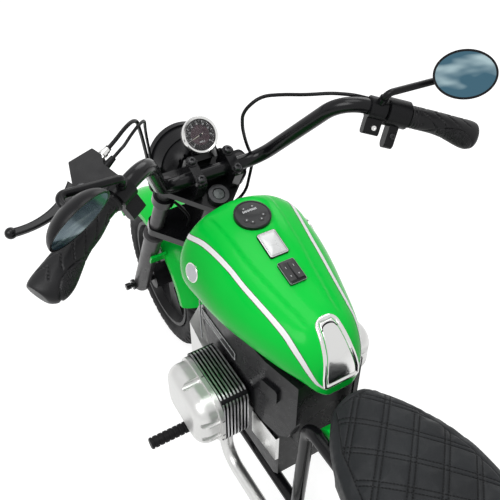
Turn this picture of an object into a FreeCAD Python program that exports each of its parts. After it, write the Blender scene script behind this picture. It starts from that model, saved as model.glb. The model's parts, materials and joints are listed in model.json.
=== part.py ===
import FreeCAD, Part
import math
import os
import re

import Sketcher

# Child's electric ride-on cruiser motorcycle, standing on its two stabiliser wheels.
# X points forward, Y to the rider's left, Z up. The origin is on the floor under the middle.
# Steered pieces are drawn in steering axes, with X ahead of the stem, Z up along it and zero
# at the stem nut. One placement moves them to the stem and leans them back by the rake.

# Driving sizes in millimetres, with the angles in degrees
SIZES = {
    # wheels
    "wheel_radius": 162, "wheel_base": 853.3, "tyre_width": 56, "tyre_depth": 46,
    "tread_width": 34, "tread_drop": 2.4, "bead_width": 40,
    "rim_width": 48, "rim_wall": 7, "rim_step": 14, "web_thickness": 14, "hub_radius": 24,
    "hub_gap": 6.5, "rear_hub_gap": 5, "window_inner": 36, "window_margin": 8,
    "window_half_inner": 10,
    "window_half_outer": 32, "spoke_count": 5,
    "axle_radius": 6, "axle_nut_radius": 11, "axle_nut_width": 6, "axle_peg_radius": 7,
    "axle_peg_waist": 5, "axle_peg_neck": 4, "axle_peg_length": 10, "running_gap": 0.4,
    "fit": 0.1, "overrun": 5,
    "seat_gap": 0.3,
    # stabilisers
    "stabiliser_radius": 68, "stabiliser_width": 34, "stabiliser_half_track": 152,
    "stabiliser_round": 9, "stabiliser_hub": 20, "stabiliser_dish": 7, "stabiliser_pin": 6,
    "stabiliser_arm_radius": 8, "stabiliser_arm_half": 106, "stabiliser_bend": 20,
    "stabiliser_arm_z": 122, "stabiliser_plate": 5, "stabiliser_plate_radius": 16,
    # steering head
    "rake": 27, "stem_x": 206, "stem_z": 507, "stem_radius": 10, "stem_nut_radius": 16.5,
    "stem_nut_height": 8, "head_tube_radius": 19, "yoke_thickness": 14,
    "lower_yoke_drop": 142, "lower_yoke_thickness": 20, "yoke_nose": 18, "yoke_side": 17,
    "yoke_tail": 22, "yoke_tail_half": 12, "yoke_round": 9, "head_gap": 1,
    # fork
    "fork_offset": 48, "fork_half_track": 65, "fork_radius": 12.5, "fork_collar": 3,
    "slider_radius": 16.5, "slider_top": 176, "slider_foot": 20, "slider_cap": 12,
    # handlebar
    "bar_radius": 11.1, "bar_height": 23.5, "bar_forward": 31, "bar_foot_half": 85.5,
    "bar_foot_bend": 41, "bar_knee_back": 41, "bar_knee_half": 147.7, "bar_knee_rise": 177,
    "bar_knee_bend": 52, "bar_end_back": 144.4, "bar_end_half": 322.4, "bar_end_rise": 162.7,
    "clamp_half_spacing": 31, "clamp_width": 15, "clamp_length": 52, "clamp_cap": 10,
    "clamp_round": 6, "grip_length": 140, "grip_radius": 16, "palm_half": 23.5,
    "palm_depth": 17, "palm_shift": 7.5, "grip_end_wall": 3,
    # controls on the bar
    "perch_from_end": 153, "perch_width": 24, "perch_radius": 16, "perch_thickness": 18,
    "perch_nose_ahead": 58, "perch_nose_out": 9, "perch_corner_ahead": 48,
    "perch_corner_in": 23, "perch_heel_ahead": 24, "perch_heel_in": 14, "perch_notch": 14,
    "perch_round": 4, "lever_pivot_ahead": 25, "lever_pivot_out": 27, "lever_pin": 3,
    "lever_eye": 8, "lever_width": 13, "lever_thickness": 8, "lever_waist_ahead": 33,
    "lever_waist_out": 62, "lever_tip_ahead": 58, "lever_tip_out": 118, "lever_knob": 7,
    "lever_root": 21, "lever_edge": 2.4, "lug_width": 14, "lug_reach": 26, "lug_round": 5,
    "throttle_radius": 20, "throttle_width": 32, "throttle_grip_length": 106,
    "throttle_lug_reach": 42, "throttle_lug_radius": 9,
    "adjuster_radius": 4, "adjuster_length": 16, "boot_radius": 5.5,
    # headlamp and speedometer
    "lamp_forward": 96.3, "lamp_drop": 46, "lamp_pitch": 5, "lamp_radius": 58.5,
    "lamp_front": 28, "lamp_ring": 11, "lamp_drum_front": 55.5, "lamp_drum_radius": 52.5,
    "lamp_step": 12, "lamp_step_depth": 2.5, "lamp_back": 36, "lamp_back_radius": 37,
    "lamp_bow": 60, "lamp_wall": 4, "lamp_lip": 4, "lens_depth": 6, "lens_crown": 130,
    "lamp_slot_count": 7, "lamp_slot_pitch": 9, "lamp_slot": 4, "lamp_slot_depth": 2,
    "ear_thickness": 6, "ear_height": 20,
    "dial_forward": 84.4, "dial_height": 49, "dial_lean": 52, "dial_radius": 27.5,
    "dial_depth": 16, "bezel_width": 3, "bezel_height": 5, "dial_bracket_half": 15,
    "dial_bracket_wall": 4, "dial_bracket_rise": 18,
    # front mudguard
    "guard_gap": 21, "guard_wall": 4, "guard_side_gap": 4, "guard_skirt": 36,
    "guard_bulge": 9, "guard_sweep": 132, "guard_middle": 97, "guard_tab_wall": 5,
    "guard_tab_height": 22, "guard_tab_reach": 8,
    # mirrors
    "mirror_long": 44, "mirror_short": 33, "mirror_bowl": 23,
    "glass_wall": 2, "glass_margin": 3, "mirror_arm_radius": 5, "mirror_elbow": 20,
    "left_mirror_back": 47.8, "left_mirror_out": 70.9, "left_mirror_up": 62,
    "right_mirror_back": 30.3, "right_mirror_out": 93.9, "right_mirror_up": 77,
    # cables
    "cable_rise": 34, "cable_radius": 2.6, "lead_radius": 2.1,
    # frame
    "tube_radius": 10.5, "backbone_radius": 16, "cradle_z": 128, "cradle_half": 50,
    "down_tube_x": 116, "down_tube_half": 32, "down_tube_top": 318, "upright_x": -124,
    "upright_half": 46, "seat_rail_z": 350, "seat_rail_end": -440, "frame_bend": 40,
    "dropout_wall": 6, "dropout_radius": 24, "dropout_length": 70,
    # centre body
    "core_half": 45, "core_bottom": 268, "core_front": 100, "core_rear": -108, "cover_half": 71,
    "cover_rear_half": 52, "cover_front": 146,
    "cover_nose_z": 322, "cover_chin_x": 120, "cover_chin_z": 279, "cover_sill_z": 270,
    "cover_sill_x": -78, "cover_waist_x": -96, "cover_tail_x": -110, "cover_tail_z": 330,
    "cover_top_x": 132, "cover_edge": 4, "flap_length": 34, "flap_height": 30,
    "flap_shift": 12, "flap_z": 362, "flap_stand": 5, "flap_round": 6,
    # engine
    "engine_front": 104, "engine_bottom": 150, "engine_half": 58,
    "engine_round": 12, "front_cover_nose": 221, "front_cover_half": 78,
    "front_cover_bottom": 150, "front_cover_top": 268,
    "front_cover_round": 26, "cylinder_x": 41, "cylinder_z": 267, "barrel_radius": 34,
    "fin_length": 120, "fin_height": 106, "fin_round": 20, "fin_count": 8,
    "fin_thickness": 3, "fin_pitch": 5.8, "stud_radius": 7, "fin_start": 76, "fin_core_inset": 9,
    "valve_start": 120.4, "valve_depth": 42, "valve_length": 132, "valve_height": 104,
    "valve_round": 36, "valve_dome": 22, "valve_flange": 7, "valve_step": 4, "valve_pocket": 7,
    "plate_wall": 6, "plate_front": -8, "plate_rear": -78, "plate_top": 262,
    "plate_bottom": 196, "plate_round": 10,
    # exhausts
    "exhaust_radius": 11, "exhaust_half": 95, "exhaust_z": 118, "exhaust_start_x": 24,
    "exhaust_bend": 40, "muffler_radius": 23, "muffler_front": -140, "muffler_rear": -330,
    "muffler_cone": 40, "exhaust_bore": 8,
    # foot pegs
    "peg_x": 72, "peg_z": 165, "peg_inner": 118, "peg_outer": 211, "peg_radius": 10,
    "peg_arm_radius": 8, "peg_hinge": 22, "peg_groove": 1.5, "peg_groove_pitch": 9,
    "peg_groove_count": 10,
    # tank
    "tank_front": 163, "tank_tail": -132, "tank_half": 101, "tank_bottom": 414,
    "tank_top": 543, "tank_tail_z": 398,
    "panel_x": 101, "panel_radius": 27.5, "panel_stand": 3, "badge_x": 46,
    "badge_length": 42, "badge_width": 30, "switch_x": -4, "switch_length": 38,
    "switch_width": 26, "fitting_stand": 3, "fitting_round": 3, "fitting_depth": 14,
    "roundel_x": 121, "roundel_z": 452, "roundel_radius": 15, "roundel_stand": 2,
    "trim_front": -88, "trim_width": 34, "trim_middle": -111,
    "trim_middle_width": 56, "trim_tail_width": 62, "trim_wall": 5,
    # seat
    "seat_front": -152, "seat_tail": -470, "seat_half": 100,
    "seat_bottom": 378, "seat_top": 430, "seat_kick": 24,
    "seat_pan_inset": 8,
    # rear mudguard
    "rear_guard_gap": 18, "rear_guard_half": 50, "rear_guard_sweep": 142,
    "rear_guard_middle": 114, "rear_guard_skirt": 44, "tail_lamp_radius": 19,
    "tail_lamp_depth": 20, "tail_lamp_z": 262, "under_seat_half": 33,
    "under_seat_front": -140, "under_seat_rear": -452, "under_seat_depth": 46, "under_seat_round": 14,
}

VECTOR = FreeCAD.Vector
QUARTER = "90"

document = FreeCAD.newDocument("ride_on_cruiser")
sheet = document.addObject("Spreadsheet::Sheet", "sizes")
for row, (name, number) in enumerate(SIZES.items(), start=1):
    sheet.set(f"A{row}", name)
    sheet.set(f"B{row}", str(number))
    sheet.setAlias(f"B{row}", name)
document.recompute()
nodes = []


# Helpers that read and bind the sheet

def expression(text):
    """Point every size name in a formula at its cell."""
    return re.sub(r"[a-z][a-z_]+", lambda word: named(word[0]), text)


def named(word):
    """Give a size name its sheet and leave any other word as it is."""
    return f"sizes.{word}" if word in SIZES else word


def value(text):
    """Work out a formula of size names."""
    return float(sheet.evalExpression(expression(text)))


def values(*texts):
    """Work out several formulas as one vector."""
    return VECTOR(*[value(text) for text in texts])


def bind(item, link, text):
    """Tie one property of an object to a formula."""
    item.setExpression(link, expression(text))


def place(item, x="0", y="0", z="0", axis=(0, 0, 1), angle="0"):
    """Put an object somewhere, turned about an axis, with every number bound."""
    item.Placement = FreeCAD.Placement(VECTOR(), FreeCAD.Rotation(VECTOR(*axis), value(angle)))
    for link, text in (("Base.x", x), ("Base.y", y), ("Base.z", z), ("Rotation.Angle", angle)):
        bind(item, "Placement." + link, text)
    return item


def lean(item):
    """Move a piece drawn in steering axes to the stem and lean it back by the rake."""
    return place(item, "stem_x", "0", "stem_z", (0, -1, 0), "rake")


def steered(forward, up):
    """Give the X and Z formulas of a place that is known in steering axes."""
    x_text = f"stem_x + ({forward}) * cos(rake) - ({up}) * sin(rake)"
    z_text = f"stem_z + ({forward}) * sin(rake) + ({up}) * cos(rake)"
    return x_text, z_text


def steered_spot(forward, up):
    """The same place in the middle plane, as three formulas."""
    x_text, z_text = steered(forward, up)
    return x_text, "0", z_text


def keep(item, label):
    """Name a finished sub-part and list it for writing."""
    item.Label = label
    nodes.append(item)
    return item


# Where the axles lie
AXLE_DROP = "((stem_z - wheel_radius + fork_offset * sin(rake)) / cos(rake))"
FRONT_X = f"(stem_x + fork_offset * cos(rake) + {AXLE_DROP} * sin(rake))"
REAR_X = f"({FRONT_X} - wheel_base)"

# Sizes that follow from the wheel and what stands beside it
FRONT_HUB = "(fork_half_track - slider_radius - hub_gap)"
REAR_HUB = "(cradle_half - dropout_wall / 2 - rear_hub_gap)"
GUARD = "(wheel_radius + guard_gap)"
GUARD_HALF = "(fork_half_track - slider_radius - guard_side_gap)"
GUARD_CROWN = f"({GUARD_HALF} + guard_bulge)"
REAR_GUARD = "(wheel_radius + rear_guard_gap)"
CROWN = "(rear_guard_half * 1.2)"


# Helpers that make geometry

def new_body(name):
    return document.addObject("PartDesign::Body", name)


def origin_plane(body, role):
    return next(item for item in body.Origin.OriginFeatures if item.Role == role)


def new_sketch(body, name, role, lift):
    sketch = body.newObject("Sketcher::SketchObject", name)
    sketch.AttachmentSupport = [(origin_plane(body, role), "")]
    sketch.MapMode = "FlatFace"
    bind(sketch, "AttachmentOffset.Base.z", lift)
    return sketch


def bowed(start, end, radius):
    """Arc between two points, anticlockwise for a positive radius."""
    chord = end - start
    middle = (start + end) * 0.5
    across = VECTOR(chord.y, -chord.x, 0) * (1 / chord.Length)
    rise = abs(radius) - math.sqrt(radius ** 2 - (chord.Length / 2) ** 2)
    side = 1 if radius > 0 else -1
    return Part.Arc(start, middle + across * rise * side, end)


def outline(body, name, role, steps, lift="0"):
    """Closed sketch whose corners, and the radius of each arc, are bound to the sheet."""
    sketch = new_sketch(body, name, role, lift)
    spots = [values(step[0], step[1], "0") for step in steps]
    tips = []
    for number, step in enumerate(steps):
        start = spots[number - 1]
        end = spots[number]
        curve = bowed(start, end, value(step[2])) if len(step) > 2 else Part.LineSegment(start, end)
        edge = sketch.addGeometry(curve, False)
        first = sketch.getPoint(edge, 1)
        flipped = (first - start).Length > (first - end).Length
        tips.append((2, 1) if flipped else (1, 2))
    for number, step in enumerate(steps):
        after = (number + 1) % len(steps)
        tip = tips[number][1]
        sketch.addConstraint(Sketcher.Constraint("Coincident", number, tip, after, tips[after][0]))
        for kind, text in (("DistanceX", step[0]), ("DistanceY", step[1])):
            rule = sketch.addConstraint(Sketcher.Constraint(kind, -1, 1, number, tip, value(text)))
            sketch.setExpression(f"Constraints[{rule}]", expression(text))
        if len(step) > 2:
            radius = f"abs({step[2]})"
            rule = sketch.addConstraint(Sketcher.Constraint("Radius", number, value(radius)))
            sketch.setExpression(f"Constraints[{rule}]", expression(radius))
    document.recompute()
    return sketch


def pad(body, sketch, length, both_ways=False, reverse=False):
    feature = body.newObject("PartDesign::Pad", sketch.Name + "_pad")
    feature.Profile = sketch
    bind(feature, "Length", length)
    feature.Midplane = both_ways
    feature.Reversed = reverse
    document.recompute()
    return feature


def pocket_through(body, sketch):
    feature = body.newObject("PartDesign::Pocket", sketch.Name + "_pocket")
    feature.Profile = sketch
    feature.Type = "ThroughAll"
    feature.Midplane = True
    document.recompute()
    return feature


def revolve(body, sketch, angle="360", both_ways=False):
    """Turn a sketch about its own upright axis."""
    feature = body.newObject("PartDesign::Revolution", sketch.Name + "_turn")
    feature.Profile = sketch
    feature.ReferenceAxis = (sketch, ["V_Axis"])
    bind(feature, "Angle", angle)
    feature.Midplane = both_ways
    document.recompute()
    return feature


def round_edges(body, radius, choose):
    """Round the edges of a body that the chooser picks."""
    base = body.Tip
    names = [f"Edge{number}" for number, edge in enumerate(base.Shape.Edges, start=1) if choose(edge)]
    feature = body.newObject("PartDesign::Fillet", base.Name + "_round")
    feature.Base = (base, names)
    bind(feature, "Radius", radius)
    document.recompute()
    return feature


def along(direction):
    """Chooser for straight edges that run along a direction."""
    wanted = VECTOR(*direction)

    def choose(edge):
        run = edge.Vertexes[-1].Point - edge.Vertexes[0].Point
        return run.Length > 0 and abs(abs(run.normalize().dot(wanted)) - 1) < 1e-6
    return choose


def spun(name, role, stations, angle="360"):
    """Body turned from stations of radius and height along its own axis."""
    body = new_body(name)
    steps = [("0", stations[0][1])] + list(stations) + [("0", stations[-1][1])]
    revolve(body, outline(body, name + "_outline", role, steps), angle)
    return body


def cylinder(name, radius, length, x, y, z, axis=(0, 0, 1), angle="0"):
    item = document.addObject("Part::Cylinder", name)
    bind(item, "Radius", radius)
    bind(item, "Height", length)
    return place(item, x, y, z, axis, angle)


def cross_cylinder(name, radius, length, x, y, z):
    """Cylinder along Y, centred on y."""
    return cylinder(name, radius, length, x, f"({y}) - ({length}) / 2", z, (-1, 0, 0), QUARTER)


def block(name, length, width, height, x, y, z):
    """Box centred on x and y, standing on z."""
    item = document.addObject("Part::Box", name)
    bind(item, "Length", length)
    bind(item, "Width", width)
    bind(item, "Height", height)
    return place(item, f"({x}) - ({length}) / 2", f"({y}) - ({width}) / 2", z)


def cut(name, base, *tools):
    result = base
    for number, tool in enumerate(tools):
        item = document.addObject("Part::Cut", f"{name}_{number}")
        item.Base = result
        item.Tool = tool
        result = item
    document.recompute()
    return result


def fuse(name, *items):
    item = document.addObject("Part::MultiFuse", name)
    item.Shapes = list(items)
    item.Refine = True
    document.recompute()
    return item


def common(name, *items):
    item = document.addObject("Part::MultiCommon", name)
    item.Shapes = list(items)
    document.recompute()
    return item


def together(name, *items):
    item = document.addObject("Part::Compound", name)
    item.Links = list(items)
    document.recompute()
    return item


def mirror_of(name, source):
    """The other side's twin of an object, across the plane of symmetry."""
    item = document.addObject("Part::Mirroring", name)
    item.Source = source
    item.Normal = VECTOR(0, 1, 0)
    document.recompute()
    return item


def shaped(name, shape):
    """Object for a free form that no bound feature makes."""
    item = document.addObject("Part::Feature", name)
    item.Shape = shape
    return item


def bent_path(points, bends):
    """Straight runs joined by tangent arcs, with one bend radius for each inner point."""
    edges = []
    last = points[0]
    for number, bend in enumerate(bends, start=1):
        corner = points[number]
        inward = (points[number - 1] - corner).normalize()
        outward = (points[number + 1] - corner).normalize()
        half_turn = inward.getAngle(outward) / 2
        reach = bend / math.tan(half_turn)
        bisector = (inward + outward).normalize()
        middle = corner + bisector * (bend / math.sin(half_turn) - bend)
        start = corner + inward * reach
        end = corner + outward * reach
        edges.append(Part.LineSegment(last, start).toShape())
        edges.append(Part.Arc(start, middle, end).toShape())
        last = end
    edges.append(Part.LineSegment(last, points[-1]).toShape())
    return Part.Wire(edges)


def tube(points, bends, radius):
    """Round bar along straight runs and tangent arcs."""
    path = bent_path(points, bends)
    start = points[0]
    ring = Part.Wire(Part.Circle(start, points[1] - start, radius).toShape())
    return path.makePipeShell([ring], True, False)


def cord_bends(points):
    """The largest arc that each corner of a cord's route leaves room for."""
    bends = []
    for number in range(1, len(points) - 1):
        inward = points[number - 1] - points[number]
        outward = points[number + 1] - points[number]
        turn = math.pi - inward.getAngle(outward)
        bends.append(0.45 * min(inward.Length, outward.Length) / math.tan(turn / 2))
    return bends


def cord(name, points, radius):
    """Tube of a cord, printed with its tightest arc and its length."""
    bends = cord_bends(points)
    shape = tube(points, bends, radius)
    length = bent_path(points, bends).Length
    ratio = shape.Volume / (math.pi * radius ** 2 * length)
    print(f"{name}: length {length:.0f}, tightest arc {min(bends):.1f}, volume ratio {ratio:.4f}")
    return shaped(name, shape)


def oval(centre, along_long, along_short, long_half, short_half):
    """Ellipse as a wire, with its long half first."""
    curve = Part.Ellipse(centre + along_long * long_half, centre + along_short * short_half, centre)
    return Part.Wire(curve.toShape())


def flipped_y(point):
    return VECTOR(point.x, -point.y, point.z)


# Wheels

def tyre(label, x):
    """Closed ring whose section runs in flats from bead to bead."""
    body = new_body(label)
    depth_shares = (1, 0.8, 0.55, 0.3, 0.11)
    width_shares = (0, 0.75, 1, 0.88, 0.42)
    half = [(f"wheel_radius - tyre_depth * {deep}",
             f"(bead_width + (tyre_width - bead_width) * {wide}) / 2")
            for deep, wide in zip(depth_shares[:3], width_shares[:3])]
    half += [(f"wheel_radius - tyre_depth * {deep}",
              f"(tread_width + (tyre_width - tread_width) * {wide}) / 2")
             for deep, wide in zip(depth_shares[3:], width_shares[3:])]
    half += [("wheel_radius - tread_drop", "tread_width / 2"), ("wheel_radius", "tread_width / 5")]
    steps = [(radius, f"-{side}") for radius, side in half] + list(reversed(half))
    revolve(body, outline(body, label + "_section", "XY_Plane", steps))
    place(body, x, "0", "wheel_radius")
    return keep(body, label)


def rim(label, x, hub):
    body = new_body(label)
    seat = "wheel_radius - tyre_depth"
    inner = "wheel_radius - tyre_depth - rim_wall"
    web = "wheel_radius - tyre_depth - rim_step"
    steps = [
        ("axle_radius + running_gap", f"-{hub}"),
        ("hub_radius", f"-{hub}"),
        ("hub_radius", "-web_thickness / 2"),
        (web, "-web_thickness / 2"),
        (inner, "-rim_width / 2"),
        (seat, "-rim_width / 2"),
        (seat, "rim_width / 2"),
        (inner, "rim_width / 2"),
        (web, "web_thickness / 2"),
        ("hub_radius", "web_thickness / 2"),
        ("hub_radius", hub),
        ("axle_radius + running_gap", hub),
    ]
    revolve(body, outline(body, label + "_section", "XY_Plane", steps))
    window_outer = f"{web} - window_margin"
    window = outline(body, label + "_window", "XZ_Plane", [
        ("window_inner", "-window_half_inner"),
        (window_outer, "-window_half_outer"),
        (window_outer, "window_half_outer", window_outer),
        ("window_inner", "window_half_inner"),
    ])
    opening = pocket_through(body, window)
    ring = body.newObject("PartDesign::PolarPattern", label + "_spokes")
    ring.Originals = [opening]
    ring.Axis = (window, ["N_Axis"])
    ring.Angle = 360
    bind(ring, "Occurrences", "spoke_count")
    body.Tip = ring
    place(body, x, "0", "wheel_radius")
    document.recompute()
    return keep(body, label)


def stabiliser_wheel(label, side):
    body = new_body(label)
    half = "stabiliser_width / 2"
    steps = [
        ("stabiliser_pin + running_gap", f"-{half}"),
        ("stabiliser_hub", f"-{half}"),
        ("stabiliser_hub + stabiliser_dish", f"-{half} + stabiliser_dish"),
        ("stabiliser_radius - 2 * stabiliser_round", f"-{half} + stabiliser_dish"),
        ("stabiliser_radius - stabiliser_round", f"-{half}"),
        ("stabiliser_radius", f"-{half} + stabiliser_round", "stabiliser_round"),
        ("stabiliser_radius", f"{half} - stabiliser_round"),
        ("stabiliser_radius - stabiliser_round", half, "stabiliser_round"),
        ("stabiliser_radius - 2 * stabiliser_round", f"{half} - stabiliser_dish"),
        ("stabiliser_hub + stabiliser_dish", f"{half} - stabiliser_dish"),
        ("stabiliser_hub", half),
        ("stabiliser_pin + running_gap", half),
    ]
    revolve(body, outline(body, label + "_section", "XY_Plane", steps))
    place(body, REAR_X, f"{side} * stabiliser_half_track", "stabiliser_radius")
    return keep(body, label)


def front_axle():
    outside = "fork_half_track + slider_radius"
    half = [
        ("axle_radius", "0"),
        ("axle_radius", outside),
        ("axle_nut_radius", outside),
        ("axle_nut_radius", f"{outside} + axle_nut_width"),
        ("axle_peg_waist", f"{outside} + axle_nut_width"),
        ("axle_peg_waist", f"{outside} + axle_nut_width + axle_peg_neck"),
        ("axle_peg_radius", f"{outside} + axle_nut_width + axle_peg_neck"),
        ("axle_peg_radius", f"{outside} + axle_nut_width + axle_peg_neck + axle_peg_length"),
    ]
    item = spun("front_axle", "XY_Plane", both_sides(half))
    return keep(place(item, FRONT_X, "0", "wheel_radius"), "front_axle")


def rear_axle():
    outside = "cradle_half + dropout_wall / 2 + stabiliser_plate + 2 * fit"
    half = [
        ("axle_radius", "0"),
        ("axle_radius", outside),
        ("axle_nut_radius", outside),
        ("axle_nut_radius", f"{outside} + axle_nut_width"),
    ]
    item = spun("rear_axle", "XY_Plane", both_sides(half))
    return keep(place(item, REAR_X, "0", "wheel_radius"), "rear_axle")


def both_sides(half):
    """Stations of a spindle from one end to the other, given from the middle outwards."""
    left = [(radius, text) for radius, text in half[1:]]
    right = [(radius, f"-({text})") for radius, text in reversed(half[1:])]
    return right + left


# Steering head and fork

def yoke(name, top, thickness):
    """Three-cornered clamp plate with bores for both fork tubes and the stem."""
    body = new_body(name + "_plate")
    nose = "fork_offset + yoke_nose"
    steps = [
        ("-yoke_tail", "-yoke_tail_half"),
        ("fork_offset - yoke_side / 3", "-fork_half_track - yoke_side"),
        (nose, "-fork_half_track - yoke_side / 2"),
        (nose, "fork_half_track + yoke_side / 2"),
        ("fork_offset - yoke_side / 3", "fork_half_track + yoke_side"),
        ("-yoke_tail", "yoke_tail_half"),
    ]
    pad(body, outline(body, name + "_outline", "XY_Plane", steps, f"{top} - {thickness}"), thickness)
    round_edges(body, "yoke_round", along((0, 0, 1)))
    low = f"{top} - {thickness} - overrun"
    deep = f"{thickness} + 2 * overrun"
    bores = [cylinder(f"{name}_bore_{side}", "fork_radius + fit", deep, "fork_offset",
                      f"{side} * fork_half_track", low) for side in (-1, 1)]
    bores.append(cylinder(name + "_stem_bore", "stem_radius + fit", deep, "0", "0", low))
    return keep(lean(cut(name, body, *bores)), name)


def steering_stem():
    low = "-lower_yoke_drop - lower_yoke_thickness"
    stations = [
        ("stem_nut_radius", f"{low} - stem_nut_height - fit"),
        ("stem_nut_radius", f"{low} - fit"),
        ("stem_radius", f"{low} - fit"),
        ("stem_radius", "fit"),
        ("stem_nut_radius", "fit"),
        ("stem_nut_radius", "stem_nut_height"),
        ("stem_nut_radius * 0.62", "stem_nut_height"),
        ("stem_nut_radius * 0.62", "stem_nut_height * 0.6"),
    ]
    return keep(lean(spun("steering_stem", "XZ_Plane", stations)), "steering_stem")


def fork_leg(label, side):
    foot = f"-({AXLE_DROP}) - slider_foot"
    stations = [
        ("slider_radius * 0.7", foot),
        ("slider_radius", f"{foot} + slider_radius * 0.4"),
        ("slider_radius", "-slider_top - slider_cap"),
        ("slider_radius + fork_collar", "-slider_top - slider_cap"),
        ("slider_radius + fork_collar", "-slider_top - fork_collar"),
        ("slider_radius", "-slider_top"),
        ("fork_radius", "-slider_top"),
        ("fork_radius", "0"),
    ]
    leg = spun(label + "_leg", "XZ_Plane", stations)
    place(leg, "fork_offset", f"{side} * fork_half_track", "0")
    bore = cross_cylinder(label + "_axle_bore", "axle_radius + fit", "4 * slider_radius",
                          "fork_offset", f"{side} * fork_half_track", f"-({AXLE_DROP})")
    return keep(lean(cut(label, leg, bore)), label)


# Handlebar and its controls

def bar_points():
    """Corners of the handlebar from its left foot to its left end, in steering axes."""
    return [
        values("bar_forward", "bar_foot_half", "bar_height"),
        values("bar_forward - bar_knee_back", "bar_knee_half", "bar_height + bar_knee_rise"),
        values("bar_forward - bar_end_back", "bar_end_half", "bar_height + bar_end_rise"),
    ]


def bar_end():
    """Left end of the bar and the direction in which it points."""
    points = bar_points()
    return points[-1], (points[-1] - points[-2]).normalize()


def handlebar():
    left = bar_points()
    points = [flipped_y(point) for point in reversed(left)] + left
    bends = [value("bar_foot_bend"), value("bar_knee_bend")]
    bar = tube(points, bends[::-1] + bends, value("bar_radius"))
    return keep(lean(shaped("handlebar", bar)), "handlebar")


def bar_clamps():
    """Two riser blocks with caps that hold the bar on the top yoke."""
    clamps = []
    for side in (-1, 1):
        body = new_body(f"clamp_{side}_block")
        half = "clamp_length / 2"
        top = "bar_height + bar_radius + clamp_cap"
        steps = [
            (f"bar_forward - {half}", "fit"),
            (f"bar_forward + {half}", "fit"),
            (f"bar_forward + {half}", f"{top}"),
            (f"bar_forward - {half}", f"{top}"),
        ]
        pad(body, outline(body, f"clamp_{side}_outline", "XZ_Plane", steps), "clamp_width", True)
        round_edges(body, "clamp_round", along((0, 1, 0)))
        place(body, "0", f"{side} * clamp_half_spacing", "0")
        bore = cross_cylinder(f"clamp_{side}_bore", "bar_radius + fit", "2 * clamp_width",
                              "bar_forward", f"{side} * clamp_half_spacing", "bar_height")
        clamps.append(cut(f"clamp_{side}", body, bore))
    return keep(lean(together("bar_clamps", *clamps)), "bar_clamps")


def bar_axes(side):
    """Outer end of one grip, the direction inwards along the bar, back and across."""
    end, outwards = bar_end()
    if side < 0:
        end = flipped_y(end)
        outwards = flipped_y(outwards)
    back = VECTOR(-1, 0, 0)
    back = (back - outwards * back.dot(outwards)).normalize()
    return end, outwards, back, outwards.cross(back)


def grip(label, side, length):
    """Palm-rest grip: ovals that widen backwards to the outer end, bored for the bar."""
    end, outwards, back, across = bar_axes(side)
    length_shares = (0, 0.3, 0.45, 0.57, 0.7, 0.86, 0.95, 1)
    width_shares = (0, 0, 0.1, 0.35, 0.75, 1, 0.8, 0.4)
    size_shares = (1, 1, 1, 1, 1, 1, 0.96, 0.8)
    inner = end - outwards * (value(length) - value("grip_end_wall"))
    ovals = []
    for along_share, wide_share, size_share in zip(length_shares, width_shares, size_shares):
        centre = inner + outwards * value(length) * along_share
        centre += back * value("palm_shift") * wide_share
        wide = value("grip_radius") + (value("palm_half") - value("grip_radius")) * wide_share
        deep = value("grip_radius") + (value("palm_depth") - value("grip_radius")) * wide_share
        ovals.append(oval(centre, back, across, (wide + value("fit")) * size_share,
                          deep * size_share))
    body = Part.makeLoft(ovals, True)
    bore = Part.makeCylinder(value("bar_radius + fit"), value(length), end - outwards * value(length),
                             outwards)
    return keep(lean(shaped(label, body.cut(bore))), label)


def on_bar(side, from_end):
    """A place on the bar's axis, measured from the outer end."""
    end, outwards, back, across = bar_axes(side)
    return end - outwards * value(from_end), outwards


def bar_rise(outwards):
    """Upward direction square to the bar."""
    rise = VECTOR(0, 0, 1) - outwards * outwards.z
    return rise.normalize()


def collar(side, from_end, radius, width):
    """Ring round the bar."""
    middle, outwards = on_bar(side, from_end)
    start = middle - outwards * value(width) / 2
    ring = Part.makeCylinder(value(radius), value(width), start, outwards)
    bore = Part.makeCylinder(value("bar_radius + fit"), value(width) * 2,
                             middle - outwards * value(width), outwards)
    return ring.cut(bore)


def control_axes():
    """Middle of the brake perch with its forward, outward and upward directions."""
    middle, outwards = on_bar(1, "perch_from_end")
    forward = VECTOR(1, 0, 0)
    forward = (forward - outwards * forward.dot(outwards)).normalize()
    return middle, forward, outwards, outwards.cross(forward) * -1


def control_spot(ahead, out, high):
    """Place given ahead of the bar's skin, outwards and upwards from the perch."""
    middle, forward, outwards, up = control_axes()
    return (middle + forward * (value("bar_radius") + value(ahead)) + outwards * value(out)
            + up * value(high))


def cable_exits():
    """Roots and lengths of the cable adjuster and the switch lead's boot, both aimed inwards."""
    adjuster = control_spot("(perch_corner_ahead + perch_heel_ahead) / 2",
                            "perch_notch / 2 - perch_corner_in - overrun / 2", "0")
    boot = control_spot("perch_heel_ahead + fit", "overrun / 2 - perch_heel_in",
                        "-adjuster_radius / 2")
    return adjuster, boot


def plate_face(corners, up, thickness, rounding):
    """Flat plate from its corners, centred on them, with its upright edges rounded."""
    face = Part.Face(Part.makePolygon(corners + [corners[0]]))
    plate = face.extrude(up * thickness)
    plate.translate(up * (-thickness / 2))
    upright = [edge for edge in plate.Edges
               if abs(edge.tangentAt(edge.FirstParameter).dot(up)) > 0.99]
    return plate.makeFillet(rounding, upright)


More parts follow.
